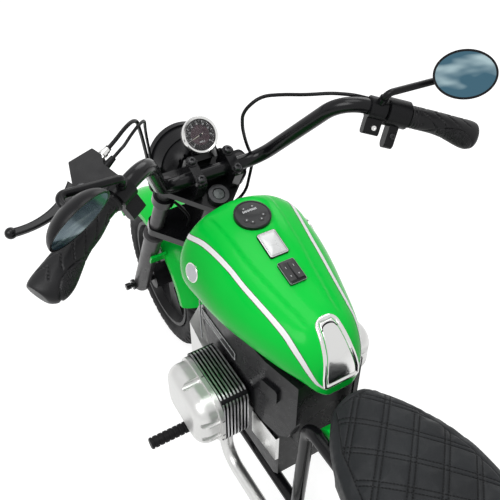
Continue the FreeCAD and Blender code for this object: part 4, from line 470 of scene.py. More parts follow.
# plain marks in one skin: rows of x, y, angle, length and width, each a thin box on a plane
def bars(centre, normal, longWay, marks, height=0.0002):
    first, second, axis = axesFrom(normal, longWay)
    x, y, angle, long, wide = np.array(marks, float).T
    corner = np.array([(-1, -1), (1, -1), (1, 1), (-1, 1)], float) / 2
    c, s = np.cos(angle)[:, None], np.sin(angle)[:, None]
    u = corner[None, :, 0] * long[:, None]
    v = corner[None, :, 1] * wide[:, None]
    flat = (np.asarray(centre) + (x[:, None] + u * c - v * s)[..., None] * first
            + (y[:, None] + u * s + v * c)[..., None] * second)
    points = np.concatenate([flat, flat + height * axis], 1).reshape(-1, 3)
    base = np.arange(len(marks))[:, None, None] * 8
    box = np.array([(3, 2, 1, 0), (4, 5, 6, 7), (0, 1, 5, 4), (1, 2, 6, 5), (2, 3, 7, 6), (3, 0, 4, 7)])
    return points, (base + box).reshape(-1, 4).tolist()


# figures on a plane, from a text curve turned into a mesh
def words(text, centre, normal, longWay, size, height):
    curve = bpy.data.curves.new("words", "FONT")
    curve.body, curve.size, curve.resolution_u = text, 1.0, 3
    curve.align_x, curve.align_y = "CENTER", "CENTER"
    holder = newObject("words", curve)
    mesh = bpy.data.meshes.new_from_object(holder.evaluated_get(bpy.context.evaluated_depsgraph_get()))
    flat = coordinates(mesh)
    faces = [list(face.vertices) for face in mesh.polygons]
    bpy.data.objects.remove(holder)
    first, second, axis = axesFrom(normal, longWay)
    return np.asarray(centre) + size * (flat[:, :1] * first + flat[:, 1:2] * second) + height * axis, faces


# finer copy of a solid, laid back onto its surface and moved along its normals by a worked-out relief
def reliefCopy(name, source, voxel, relief, finish, body="frame"):
    piece = newObject(name, node[source].data.copy())
    remesh = piece.modifiers.new("remesh", "REMESH")
    remesh.mode = "VOXEL"
    remesh.voxel_size = voxel
    wrap = piece.modifiers.new("wrap", "SHRINKWRAP")
    wrap.target = node[source]
    wrap.wrap_method = "NEAREST_SURFACEPOINT"
    evaluated(piece)
    piece.data.materials.clear()
    piece.data.materials.append(finishes[finish])
    points, normals = coordinates(piece.data), normalsOf(piece.data)
    moveTo(piece.data, points + normals * relief(points, normals)[:, None])
    shadeSmooth(piece.data, 50)
    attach(piece, body)
    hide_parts(source)
    return piece


def smoothStep(value, low, high):
    share = np.clip((value - low) / (high - low), 0, 1)
    return share * share * (3 - 2 * share)


# soft-edged line round zero: 1 on it and 0 well away
def softLine(off, half, power=2):
    return np.exp(-(off / half) ** power)


# distance from the nearest line of a set spaced evenly
def fromLines(value, spacing):
    return np.abs((value / spacing + 0.5) % 1 - 0.5) * spacing


# tank: a raised spine with a crease down each side, low just outside it and rising back further out
spine = {"x": (-0.100, -0.062, -0.044, 0.041, 0.135), "half": (0.021, 0.0245, 0.028, 0.041, 0.048),
         "drop": 0.0019, "step": 0.0045, "reach": 0.030, "frontFade": (0.128, 0.150),
         "tailFade": (-0.088, -0.066), "levelFade": (0.25, 0.5), "voxel": 0.0032}


def tankRelief(points, normals):
    off = np.abs(points[:, 1]) - np.interp(points[:, 0], spine["x"], spine["half"])
    fade = (smoothStep(points[:, 0], *spine["tailFade"]) * (1 - smoothStep(points[:, 0], *spine["frontFade"]))
            * smoothStep(normals[:, 2], *spine["levelFade"]))
    outside = smoothStep(off, 0, spine["step"]) * softLine(np.maximum(off, 0), spine["reach"])
    return -spine["drop"] * outside * fade


tankShell = reliefCopy("tankShell", "tank", spine["voxel"], tankRelief, "green_paint")

# twin stripes down the tank: a dark ribbon with a narrower white one on it, wrapped to the paint
stripes = {"width": 0.0076, "edge": 0.0010, "stand": 0.0003, "edgeStand": 0.00015, "heart": (0, 0, 0.44),
           "run": [(150, 60, 486), (148, 78, 502), (141, 85, 510), (128, 84, 515), (106, 78, 518),
                   (76, 73, 517), (46, 69, 513), (16, 66, 506), (-14, 61, 498), (-44, 55, 489),
                   (-74, 49, 478), (-100, 45, 462), (-114, 40, 446), (-123, 33, 430), (-128, 22, 418)]}
moulded("stripeWhite", (0.86, 0.87, 0.86), 0.3, coat=0.1, mottle=0.03)
moulded("stripeEdge", (0.010, 0.10, 0.02), 0.35)
run = smoothPath(np.array(stripes["run"]) * mm, 130)
for label, sign in sides:
    path = run * (1, sign, 1)
    outward = unit(path * (0, 1, 1) - stripes["heart"])
    sideways = np.cross(unit(np.gradient(path, axis=0)), outward)
    for part, extra, stand, finish in (("Edge", 2 * stripes["edge"], stripes["edgeStand"], "stripeEdge"),
                                       ("", 0, stripes["stand"], "stripeWhite")):
        ribbon = ribbonSkin(path, sideways, stripes["width"] + extra, 7)
        wrapOnto(newPiece("stripe" + part + label, ribbon, finish, "green_paint"), tankShell, stand)

# control panel: a raised rim, a ring of small buttons with a dot on each, and a row of level bars
panelDisc = {"rim": [(0.0272, -0.0008), (0.0272, 0.0004), (0.0266, 0.0009), (0.0250, 0.0009),
                     (0.0246, -0.0001), (0.0004, -0.0001)],
             "pad": [(0.0034, -0.0004), (0.0034, 0.0005), (0.0028, 0.0009), (0.0003, 0.0009)],
             "padRing": 0.0155, "padTurns": (118, 152, 208, 242, 332, 388), "dot": (0.6, 0.0016, 0.0016),
             "bars": 11, "barX": 0.0085, "barFrom": -0.0105, "barPitch": 0.0021,
             "barLong": (0.00236, 0.00204), "barWide": 0.0012}
moulded("markWhite", (0.62, 0.63, 0.64), 0.4, mottle=0.04)
moulded("padBlack", (0.010, 0.010, 0.011), 0.55)
centre, normal = facePlane("control_panel", upwards)
first, second, axis = axesFrom(normal, forward)
newPiece("panelRim", turned(centre, normal, panelDisc["rim"], 64), "dark_panel")
turns = np.radians(panelDisc["padTurns"])
spots = panelDisc["padRing"] * np.stack([np.cos(turns), np.sin(turns)], -1)
pads = [turned(centre + x * first + y * second, normal, panelDisc["pad"], 20) for x, y in spots]
newPiece("panelPads", pads, "padBlack", "dark_panel")
dots = [(x, y, *panelDisc["dot"]) for x, y in spots]
padTop = centre + axis * panelDisc["pad"][-1][1]
newPiece("panelMarks", bars(padTop, normal, forward, dots), "markWhite", "dark_panel")
# the bars' lengths rise and fall with a sine of their number
steps = np.arange(panelDisc["bars"])
barLongs = panelDisc["barLong"][0] + panelDisc["barLong"][1] * np.abs(np.sin(1.7 * steps + 0.6))
level = [(panelDisc["barX"], panelDisc["barFrom"] + panelDisc["barPitch"] * k, 0, long, panelDisc["barWide"])
         for k, long in zip(steps, barLongs)]
newPiece("panelLevel", bars(centre, normal, forward, level), "markWhite", "dark_panel")

# blank pale badge with a fine ribbed border and a bright frame: lengths, widths, corners and heights
badge = {"face": (0.0410, 0.0292, 0.0030, 0.0005), "faceTop": 0.0005, "rib": (0.6, 0.0022, 0.0004),
         "ribPitch": 0.0014, "ribHeight": 0.00015, "longRow": (-0.0175, 0.0128, 26),
         "shortRow": (-0.0110, 0.0187, 17), "frame": (0.0338, 0.0220, 0.0012, 0.0005, 0.0004),
         "frameBase": 0.0004}
moulded("badgePale", (0.60, 0.61, 0.61), 0.3, metallic=0.3, mottle=0.04)
moulded("badgeRib", (0.16, 0.16, 0.17), 0.4, metallic=0.3)
centre, normal = facePlane("badge_plate", upwards)
newPiece("badgeFace", lowBlock(centre, normal, *badge["face"]), "badgePale", "dark_panel")
ribs = []
for side in (-1, 1):
    start, off, count = badge["longRow"]
    ribs += [(start + badge["ribPitch"] * k, side * off, *badge["rib"]) for k in range(count)]
    start, off, count = badge["shortRow"]
    ribs += [(side * off, start + badge["ribPitch"] * k, *badge["rib"]) for k in range(count)]
newPiece("badgeRibs", bars(centre + normal * badge["faceTop"], normal, forward, ribs, badge["ribHeight"]),
         "badgeRib", "dark_panel")
frameRoot = centre + normal * badge["frameBase"]
newPiece("badgeFrame", rimFrame(frameRoot, normal, *badge["frame"]), "bright_chrome")

# two rocker switches in their plate: each cap is a shallow vee along its length
rocker = {"plate": (0.0376, 0.0258, 0.0026, 0.0008, 0.0005), "edge": (0.0382, 0.0264, 0.0028, 0.0005, 0.0010),
          "off": 0.0062, "long": 0.0150, "half": 0.0050, "base": 0.0014, "rise": 0.0016, "power": 1.4,
          "lowShare": 0.25, "bevel": 0.0006, "crown": 1.12, "markLevel": 0.0024,
          "marks": [(0.0070, 0, 0.0036, 0.0005), (-0.0075, 0.8, 0.0026, 0.0005),
                    (-0.0075, -0.8, 0.0026, 0.0005)]}
moulded("switchEdgeGrey", (0.22, 0.23, 0.24), 0.35)
centre, normal = facePlane("switch_panel", upwards)
first, second, axis = axesFrom(normal, forward)
newPiece("switchPlate", lowBlock(centre, normal, *rocker["plate"]), "dark_panel")
newPiece("switchEdge", rimFrame(centre, normal, *rocker["edge"]), "switchEdgeGrey", "dark_panel")
rockerSkins, marks = [], []
share = np.linspace(-1, 1, 17)
# half of a cap's outline: off the middle, in from the end, and share of the height
cap = [(rocker["half"], 0, 0), (rocker["half"], 0, 1),
       (rocker["half"] - rocker["bevel"], rocker["bevel"], rocker["crown"])]
outline = [(-off, inset, scale) for off, inset, scale in cap] + cap[::-1]
for side in (-1, 1):
    middle = centre + second * side * rocker["off"]
    vee = np.abs(share) ** rocker["power"] * np.where(share * side > 0, 1.0, rocker["lowShare"])
    height = rocker["base"] + rocker["rise"] * vee
    rows = [middle + first * (share * (rocker["long"] - inset))[:, None] + second * off
            + axis * (height * scale)[:, None] for off, inset, scale in outline]
    rockerSkins.append(gridSkin(np.stack(rows, 1)))
    marks += [(x, side * rocker["off"], angle, long, wide) for x, angle, long, wide in rocker["marks"]]
newPiece("rockers", rockerSkins, "padBlack", "dark_panel")
newPiece("rockerMarks", bars(centre + axis * rocker["markLevel"], normal, forward, marks), "markWhite",
         "dark_panel")

# chrome tongue at the tail: a rounded bead all round a shallow recess, its skirt let into the tank
tongue = {"x": (-79, -87, -97, -112, -124, -131, -134), "z": (498, 495, 489, 474, 457, 436, 421),
          "half": (17.5, 19, 21, 23.5, 27, 30, 30), "corner": 0.16, "roundness": 2.6, "bead": 0.0060,
          "beadBase": 0.0006, "rise": 0.0024, "field": 0.0010, "groove": 0.0014, "grooveOff": 0.0008,
          "grooveHalf": 0.0007, "skirt": 0.0035, "leastRound": 0.02, "beadFoot": 0.10,
          "outward": (-0.7, 0, 0.7), "rows": 110, "columns": 91}
share = np.r_[0, np.linspace(0, 1, tongue["rows"]), 1]
stations = np.linspace(0, 1, len(tongue["x"]))
spineLine = smoothPath(np.stack([tongue["x"], 0 * stations, tongue["z"]], -1) * mm, 400)
walked = np.r_[0, np.linalg.norm(np.diff(spineLine, axis=0), axis=1).cumsum()]
along = share * walked[-1]
middle = np.stack([np.interp(along, walked, spineLine[:, k]) for k in range(3)], -1)
rounding = 1 - (1 - np.minimum(share / tongue["corner"], 1)) ** tongue["roundness"]
rounding = np.maximum(rounding ** (1 / tongue["roundness"]), tongue["leastRound"])
half = np.interp(share, stations, tongue["half"]) * mm * rounding
across = np.r_[-1, np.linspace(-1, 1, tongue["columns"]), 1]
flat = middle[:, None] + half[:, None, None] * across[None, :, None] * np.array([0, 1, 0])
tankTongue = newPiece("tankTongue", gridSkin(flat, around=False), "bright_chrome", replaced=("tank_trim",),
                      flip=False)
wrapOnto(tankTongue, tankShell, 0.0)
laid, outwards = coordinates(tankTongue.data), normalsOf(tankTongue.data)
outwards *= np.sign(outwards @ np.array(tongue["outward"]))[:, None]
edge = np.minimum((1 - np.abs(across))[None, :] * half[:, None],
                  np.minimum(along, walked[-1] - along)[:, None]).ravel()
bead = tongue["rise"] * np.sqrt(np.clip(1 - (edge / tongue["bead"] * 2 - 1) ** 2, tongue["beadFoot"], 1))
groove = softLine(edge - tongue["bead"] - tongue["grooveOff"], tongue["grooveHalf"]) * tongue["groove"]
height = np.where(edge < tongue["bead"], bead + tongue["beadBase"], tongue["field"]) - groove
height = height.reshape(len(share), -1)
height[[0, -1]] = -tongue["skirt"]
height[:, [0, -1]] = -tongue["skirt"]
moveTo(tankTongue.data, laid + outwards * height.reshape(-1, 1))
shadeSmooth(tankTongue.data, 60)

# painted shadow: a thin black strip laid in the tongue's recess where it is shaded under the rounded top rim;
# it follows that top and tapers to both ends
slot = {"run": [(-96, 11, 490), (-91, 8, 493), (-89, 0, 494), (-91, -8, 493), (-96, -11, 490)],
        "up": (-0.45, 0, 0.89), "wide": 0.0024, "taper": 0.15, "stand": 0.0003, "steps": 40}
slotShadowPath = smoothPath(np.array(slot["run"]) * mm, slot["steps"])
slotShadowSide = np.cross(unit(np.gradient(slotShadowPath, axis=0)), slot["up"])
tapering = np.sin(np.linspace(slot["taper"], math.pi - slot["taper"], slot["steps"]))
slotShadowWide = slot["wide"] * tapering[:, None, None]
wrapOnto(newPiece("tongueSlotShadow", ribbonSkin(slotShadowPath, slotShadowSide, slotShadowWide, 5), "black_plastic"), tankTongue,
         slot["stand"])

# plain side roundels: a domed pale disc in a bright rim
roundel = {"centre": (0.0990, 0.1010, 0.4790), "normal": (-0.10, 0.96, 0.26), "radius": 0.0148,
           "discEdge": 0.0130, "discTip": 0.0002, "discFoot": -0.004, "discBase": 0.0008, "discRise": 0.0012,
           "rim": [(0.0148, -0.005), (0.0148, 0.0008), (0.0141, 0.0015), (0.0132, 0.0013),
                   (0.0128, 0.0004), (0.0128, -0.005)]}
disc = [(roundel["discEdge"], roundel["discFoot"])]
disc += dome(roundel["radius"], roundel["discEdge"], roundel["discTip"], roundel["discBase"],
             roundel["discRise"], 10)
roundelPairs = [(np.array(roundel["centre"]) * (1, sign, 1), np.array(roundel["normal"]) * (1, sign, 1))
                for label, sign in sides]
newPiece("roundelDiscs", [turned(*pair, disc) for pair in roundelPairs], "white_disc",
         replaced=("side_roundels",))
newPiece("roundelRims", [turned(*pair, roundel["rim"]) for pair in roundelPairs], "bright_chrome")
print("tank dressed")


# speedometer: dark face, ticks and figures round it, a needle and a clear domed cover
dial = {"centre": steered(0.0844, 0, 0.049), "lean": math.radians(52), "start": math.radians(222),
        "sweep": math.radians(-264),
        "face": [(0.0262, -0.0002), (0.0262, 0.0007), (0.0240, 0.0007), (0.0004, 0.0007)],
        "disc": [(0.0152, 0.0006), (0.0152, 0.0011), (0.0148, 0.0012), (0.0003, 0.0012)],
        "hub": [(0.0026, 0.0012), (0.0026, 0.0028), (0.0018, 0.0034), (0.0002, 0.0035)],
        "ticks": 41, "longEvery": 4, "tickTo": 0.0226, "longTick": (0.0034, 0.0006),
        "shortTick": (0.0018, 0.0003),
        "lines": [(0, -0.0085, 0, 0.0105, 0.0003), (0, -0.0128, 0, 0.0105, 0.0003)], "tickLevel": 0.0008,
        "figures": 9, "figureRing": 0.0172, "figureSize": 0.0036, "figureLevel": 0.0013,
        "counterAt": 0.0106, "counterSize": 0.0040, "counterLevel": 0.0014,
        "cover": 0.0243, "coverTip": 0.0003, "coverBase": 0.0040, "coverRise": 0.0016, "coverBump": 0.00002}
dialNormal = np.array([-math.sin(dial["lean"]), 0, math.cos(dial["lean"])])
dialUp = np.array([math.cos(dial["lean"]), 0, math.sin(dial["lean"])])
dialRight = np.cross(dialUp, dialNormal)
moulded("dialFace", (0.012, 0.010, 0.012), 0.35)
moulded("dialDisc", (0.050, 0.028, 0.036), 0.3)
moulded("dialNeedle", (0.62, 0.60, 0.52), 0.35)
tree, shader = clearFinish("dialCover", (1, 1, 1), 1.12)
bumpFrom(tree, shader, noise(tree, 40, 2), dial["coverBump"])


# turned pieces about the dial's middle
def dialPiece(name, profile, finish, slot="black_plastic", steps=64, **more):
    barPiece(name, turned(dial["centre"], dialNormal, profile, steps), finish, slot, **more)


dialPiece("dialFace", dial["face"], "dialFace")
dialPiece("dialDisc", dial["disc"], "dialDisc")
ticks = []
for k in range(dial["ticks"]):
    angle = dial["start"] + dial["sweep"] * k / (dial["ticks"] - 1)
    long, wide = dial["shortTick"] if k % dial["longEvery"] else dial["longTick"]
    radius = dial["tickTo"] - long / 2
    ticks.append((radius * math.cos(angle), radius * math.sin(angle), angle, long, wide))
tickRoot = dial["centre"] + dialNormal * dial["tickLevel"]
barPiece("dialTicks", bars(tickRoot, dialNormal, dialRight, ticks + dial["lines"]), "markWhite",
         "black_plastic")
figures = []
for k in range(dial["figures"]):
    angle = dial["start"] + dial["sweep"] * k / (dial["figures"] - 1)
    spot = dial["centre"] + dial["figureRing"] * (math.cos(angle) * dialRight + math.sin(angle) * dialUp)
    figures.append(words(str(k * 10), spot, dialNormal, dialRight, dial["figureSize"], dial["figureLevel"]))
figures.append(words("000.0", dial["centre"] - dialUp * dial["counterAt"], dialNormal, dialRight,
                     dial["counterSize"], dial["counterLevel"]))
barPiece("dialFigures", figures, "markWhite", "black_plastic", flip=False)

# needle: a long narrow kite that tapers to its tip
needle = {"angle": math.radians(196), "tail": -0.0045, "long": 0.0255, "share": (0, 0.18, 1),
          "half": (0.0007, 0.0009, 0.00015), "section": [(-1, 0), (0, 0.0006), (1, 0), (0, -0.0002)],
          "level": 0.0021}
way = math.cos(needle["angle"]) * dialRight + math.sin(needle["angle"]) * dialUp
off = np.cross(dialNormal, way)
share = np.linspace(0, 1, 12)
length = needle["tail"] + needle["long"] * share
half = np.interp(share, needle["share"], needle["half"])
section = np.array(needle["section"])
kite = (dial["centre"] + dialNormal * needle["level"] + length[:, None, None] * way
        + half[:, None, None] * section[None, :, :1] * off + section[None, :, 1:] * dialNormal)
barPiece("dialNeedle", gridSkin(kite), "dialNeedle", "black_plastic")
dialPiece("dialHub", dial["hub"], "padBlack", steps=28)
domed = dome(dial["cover"], dial["cover"], dial["coverTip"], dial["coverBase"], dial["coverRise"], 12)
dialPiece("dialCover", domed, "dialCover", "clear_lens", flip=False)
print("dial made")


# cylinders: a polished band round the edge of each cooling fin, and bolt heads in the cover's pockets
cylinder = {"x": 0.041, "z": 0.267, "long": 0.120, "high": 0.106, "round": 0.020, "firstFin": 0.0764,
            "pitch": 0.0058, "fins": 8, "band": 0.0026, "stand": 0.0004, "inside": -0.0005,
            "nuts": [(0.062, 0.0168), (0.062, -0.0168), (-0.062, 0.0168), (-0.062, -0.0168), (0, 0.048),
                     (0, -0.048)], "nutsAt": 0.1222, "nutSize": (0.0042, 0.0040)}
plated("finEdge", (0.66, 0.66, 0.67), 0.3, 0.1)
outer, inner = (roundedLoop(cylinder["long"] + 2 * grow, cylinder["high"] + 2 * grow, cylinder["round"], 8)
                for grow in (cylinder["stand"], cylinder["inside"]))
for label, sign in sides:
    skins = []
    for fin in range(cylinder["fins"]):
        low = cylinder["firstFin"] + fin * cylinder["pitch"]
        high = low + cylinder["band"]
        rows = [np.stack([cylinder["x"] + loop[:, 0], np.full(len(loop), sign * level),
                          cylinder["z"] + loop[:, 1]], -1)
                for loop, level in ((inner, low), (outer, low), (outer, high), (inner, high))]
        skins.append(gridSkin(np.array(rows).transpose(1, 0, 2), along=True))
    newPiece("finEdges" + label, skins, "finEdge", "fin_black")
    nuts = [boltHead((cylinder["x"] + x, sign * cylinder["nutsAt"], cylinder["z"] + z), (0, sign, 0),
                     *cylinder["nutSize"]) for x, z in cylinder["nuts"]]
    newPiece("coverNuts" + label, nuts, "dark_steel")

# side covers: a blank plate with a pale outline, and a thin pale bead down the front edge
plate = {"x": 0.0835, "z": 0.346, "block": (0.112, 0.021, 0.004, 0.0010),
         "line": (0.108, 0.017, 0.0030, 0.0011, 0.0005), "lineBase": 0.0008, "beadRadius": 0.0013,
         "bead": [(138, 64, 413.2), (145.5, 67, 411), (146.6, 70, 400), (146.6, 70.5, 340),
                  (146.6, 70.5, 276)]}
for label, sign in sides:
    small, outwards = label.lower(), np.array([0, sign, 0])
    place = np.array([plate["x"], facePlane("side_cover_" + small, outwards)[0][1], plate["z"]])
    newPiece("coverPlate_" + small, lowBlock(place, outwards, *plate["block"]), "dark_panel", "black_plastic")
    line = rimFrame(place + outwards * plate["lineBase"], outwards, *plate["line"])
    newPiece("coverPlateLine_" + small, line, "markWhite", "black_plastic")
for label, sign in sides:
    beadPath = smoothPath(np.array(plate["bead"]) * mm * (1, sign, 1), 60)
    newPiece("coverBead" + label, tubeSkin(beadPath, plate["beadRadius"], 12), "bracket_silver")
print("engine dressed")


# bar clamps: socket bolts on the two bosses of each cap
clamp = {"ahead": 0.031, "left": 0.031, "spread": 0.0165, "bolt": (0.0063, 0.0046), "boltBase": 0.0016,
         "boss": [(0.0090, -0.008), (0.0090, 0.0012), (0.0084, 0.0018), (0.0003, 0.0018)]}
stemUp = steered(0, 0, 1) - steered(0, 0, 0)
clampLevel = (facePlane("bar_clamps", stemUp)[0] - steered(0, 0, 0)) @ stemUp
moulded("boltBlack", (0.020, 0.020, 0.022), 0.28, metallic=0.4)
spots = [steered(clamp["ahead"] + side * clamp["spread"], left, clampLevel) for side in (-1, 1)
         for left in (clamp["left"], -clamp["left"])]
barPiece("clampBosses", [turned(spot, stemUp, clamp["boss"], 32) for spot in spots], "satin_black")
bolts = [boltHead(spot + stemUp * clamp["boltBase"], stemUp, *clamp["bolt"]) for spot in spots]
barPiece("clampBolts", bolts, "boltBlack", "dark_steel")

# stem cap: a stepped black cap with a flat grey crown
stem = {"cap": [(0.0150, -0.004), (0.0150, 0.0022), (0.0140, 0.0036), (0.0106, 0.0038), (0.0100, 0.0022),
                (0.0002, 0.0022)],
        "crown": [(0.0092, -0.001), (0.0092, 0.0014), (0.0084, 0.0022), (0.0002, 0.0027)],
        "capAt": 0.0035, "crownAt": 0.0056}
moulded("crownGrey", (0.085, 0.095, 0.095), 0.3, metallic=0.3)
barPiece("stemCap", turned(steered(0, 0, stem["capAt"]), stemUp, stem["cap"], 40), "satin_black")
barPiece("stemCrown", turned(steered(0, 0, stem["crownAt"]), stemUp, stem["crown"], 36), "crownGrey",
         "dark_steel")

# grips: deep slanting seams, rings at the inner collar, and a dotted palm pad ringed by a groove
grip = {"end": (-0.1134, 0.3224, 0.1862), "knee": (-0.010, 0.1477, 0.2005), "voxel": 0.0015, "depth": 0.0018,
        "skinRadius": 0.018, "seamHalf": 0.0011, "seamPitch": 0.0210, "seamSlant": 0.95,
        "endFade": (0.012, 0.016), "kneeFade": (-0.021, -0.018), "flankFade": (-0.9, -0.6), "padAlong": 0.033,
        "padLong": 0.027, "padAngle": 1.15, "padWide": 0.85, "padRadius": 0.024, "grooveHalf": 0.0012,
        "clearFade": (1.05, 1.2), "dotFade": (0.86, 0.95), "dots": 420.0, "dotHeight": 0.0009,
        "ringDepth": 0.7, "ringAt": -0.003, "ringPitch": 0.0045, "ringHalf": 0.0008,
        "ringFade": (-0.017, -0.016), "ringEnd": -0.001,
        "lengths": {"Left": 0.140, "Right": 0.106}}


# along the bar from its end, angle from the top towards the rider, and the share of the palm pad's oval
def gripPlaces(points, sign):
    end = steered(*(np.array(grip["end"]) * (1, sign, 1)))
    way = unit(steered(*(np.array(grip["knee"]) * (1, sign, 1))) - end)
    back = unit(np.array([-1, 0, 0]) - way * -way[0])
    back = unit(back - (0, 0, back[2]))
    top = unit(np.cross(way, back) * sign)
    offset = points - end
    along = offset @ way
    angle = np.arctan2(offset @ back, offset @ top)
    oval = np.hypot((along - grip["padAlong"]) / grip["padLong"],
                    (angle - grip["padAngle"]) / grip["padWide"])
    return along, angle, oval, way


def gripRelief(sign, length):
    def relief(points, normals):
        along, angle, oval, way = gripPlaces(points, sign)
        fromKnee = along - length
        arc = np.abs((angle / math.pi + 1) % 1 - 0.5) * math.pi * grip["skinRadius"]
        seams = softLine(fromLines(along - grip["seamSlant"] * arc, grip["seamPitch"]), grip["seamHalf"])
        seams *= smoothStep(along, *grip["endFade"]) * (1 - smoothStep(fromKnee, *grip["kneeFade"]))
        seams *= smoothStep(oval, *grip["clearFade"])
        outline = softLine((oval - 1) * grip["padRadius"], grip["grooveHalf"])
        flank = smoothStep(-np.abs(normals @ way), *grip["flankFade"])
        rings = softLine(fromLines(fromKnee - grip["ringAt"], grip["ringPitch"]), grip["ringHalf"])
        rings *= smoothStep(fromKnee, *grip["ringFade"]) * (fromKnee < grip["ringEnd"])
        return -grip["depth"] * flank * np.maximum(np.maximum(seams, outline), grip["ringDepth"] * rings)

    return relief


# rubber whose pad is covered with small raised dots
tree, shader = moulded("gripDots", (0.010, 0.010, 0.011), 0.42, specular=0.22)
padDots = spread(tree, cells(tree, grip["dots"]), 1, 0, 0.25, 0.55)
bumpFrom(tree, shader, sums(tree, "MULTIPLY", padDots, attribute(tree, "pad")), grip["dotHeight"])
for label, sign in sides:
    ribbed = reliefCopy("ribbedGrip_" + label.lower(), "grip_" + label.lower(), grip["voxel"],
                        gripRelief(sign, grip["lengths"][label]), "gripDots", "steering")
    ovalShare = gripPlaces(coordinates(ribbed.data), sign)[2]
    storeValue(ribbed.data, "pad", 1 - smoothStep(ovalShare, *grip["dotFade"]))

# clamp lugs on the right: a bright bolt in the mirror's, a dark one in the throttle's
lugs = {"way": (-0.88, 0.32, 0.34), "mirror": ((0.0725, -0.1794, 0.6450), 0.0042, 0.0034),
        "throttle": ((0.0575, -0.2030, 0.6320), 0.0045, 0.0032)}
for label, finish in (("mirror", "bright_chrome"), ("throttle", "boltBlack")):
    spot, radius, height = lugs[label]
    barPiece(label + "LugBolt", boltHead(spot, lugs["way"], radius, height), finish, "black_plastic")

# brake perch: a bright cable adjuster with a hexagon nut, and the dark head of the lever's pivot bolt
perch = {"middle": np.array([-35.7, 191.1, 196.9]) * mm, "out": np.array([-0.508, 0.858, -0.070]),
         "ahead": np.array([0.861, 0.506, -0.041]), "up": np.array([0, 0.082, 0.997]),
         "adjuster": [(0.0046, 0), (0.0046, 0.007), (0.0056, 0.0076), (0.0056, 0.0120), (0.0046, 0.0126),
                      (0.0046, 0.0170), (0.0041, 0.0180)], "adjusterAt": (0.0471, -0.0190, 0),
         "nut": [(0.0074, 0.0008), (0.0074, 0.0046), (0.0066, 0.0052)],
         "boltAt": (0.0361, 0.027, 0.0092), "bolt": (0.0058, 0.0036)}


def perchPoint(ahead, out, high):
    return steered(*(perch["middle"] + perch["ahead"] * ahead + perch["out"] * out + perch["up"] * high))


inWay = perchPoint(0, -1, 0) - perchPoint(0, 0, 0)
perchUp = perchPoint(0, 0, 1) - perchPoint(0, 0, 0)
adjusterRoot = perchPoint(*perch["adjusterAt"])
barPiece("cableAdjuster", turned(adjusterRoot, inWay, perch["adjuster"], 30), "bright_chrome")
barPiece("adjusterNut", turned(adjusterRoot, inWay, perch["nut"], 6), "bright_chrome", sharp=20)
barPiece("leverBolt", boltHead(perchPoint(*perch["boltAt"]), perchUp, *perch["bolt"]), "dark_steel")
print("controls dressed")


# tyres: blocks on the crown, a zigzag groove down the middle, and cross cuts that fade towards the wall
tread = {"front": 0.435657, "rear": -0.417643, "radius": 0.162, "voxel": 0.0028, "blocks": 46,
         "depth": 0.0030, "cutHalf": 0.0026, "slant": 0.55, "wave": 0.003, "middleHalf": 0.0022,
         "shoulderAt": 0.01488, "shoulderHalf": 0.0014, "shoulderDepth": 0.7, "crownFade": (-0.022, -0.014)}


def treadRelief(centreX):
    def relief(points, normals):
        radius = tread["radius"]
        x, y, z = (points - (centreX, 0, radius)).T
        around = np.arctan2(z, x)
        pitch = 2 * math.pi * radius / tread["blocks"]
        slanted = around * radius + tread["slant"] * np.abs(y)
        cuts = softLine(fromLines(slanted + (y > 0) * pitch / 2, pitch), tread["cutHalf"], 4)
        zigzag = np.abs(y - tread["wave"] * np.sin(around * tread["blocks"]))
        middle = softLine(zigzag, tread["middleHalf"], 4)
        shoulder = softLine(np.abs(y) - tread["shoulderAt"], tread["shoulderHalf"], 4)
        onCrown = smoothStep(np.hypot(x, z) - radius, *tread["crownFade"])
        deepest = np.maximum(np.maximum(cuts, middle), shoulder * tread["shoulderDepth"])
        return -tread["depth"] * onCrown * deepest

    return relief


for label in ("front", "rear"):
    reliefCopy(label + "Tread", label + "_tyre", tread["voxel"], treadRelief(tread[label]), "tyre_rubber",
               body=label + "_wheel")
print("tyres cut")


# headlamp: a dished bright reflector with a bulb behind the lens
lamp = {"axis": (0.9945, 0, 0.1045), "back": -0.004, "mouth": 0.0505, "throat": 0.004, "rimLevel": -0.0015,
        "dish": -0.015, "floor": -0.020, "tip": 0.0002, "bulbFoot": (0.0042, -0.0185), "bulbWide": 0.0055,
        "bulbMiddle": -0.0095, "bulbHigh": 0.0070}
moulded("bulbWhite", (0.75, 0.75, 0.70), 0.2, mottle=0.03)
lensLow, lensHigh = (np.array(corner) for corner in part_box("headlamp_lens"))
lampMiddle = (lensLow + lensHigh) / 2 + np.array(lamp["axis"]) * lamp["back"]
bowl = dome(lamp["mouth"], lamp["mouth"], lamp["throat"], lamp["rimLevel"], lamp["dish"], 22)
bowl += [(lamp["throat"], lamp["floor"]), (lamp["tip"], lamp["floor"])]
barPiece("lampBowl", turned(lampMiddle, lamp["axis"], bowl, 64), "bright_chrome")
# the bulb is an oval from its foot to its tip
turn = np.linspace(2.2, 0.05, 12)
bulb = [lamp["bulbFoot"], *np.stack([lamp["bulbWide"] * np.sin(turn),
                                     lamp["bulbMiddle"] + lamp["bulbHigh"] * np.cos(turn)], -1)]
barPiece("lampBulb", turned(lampMiddle, lamp["axis"], bulb, 28), "bulbWhite", "clear_lens")
print("lamps fitted")


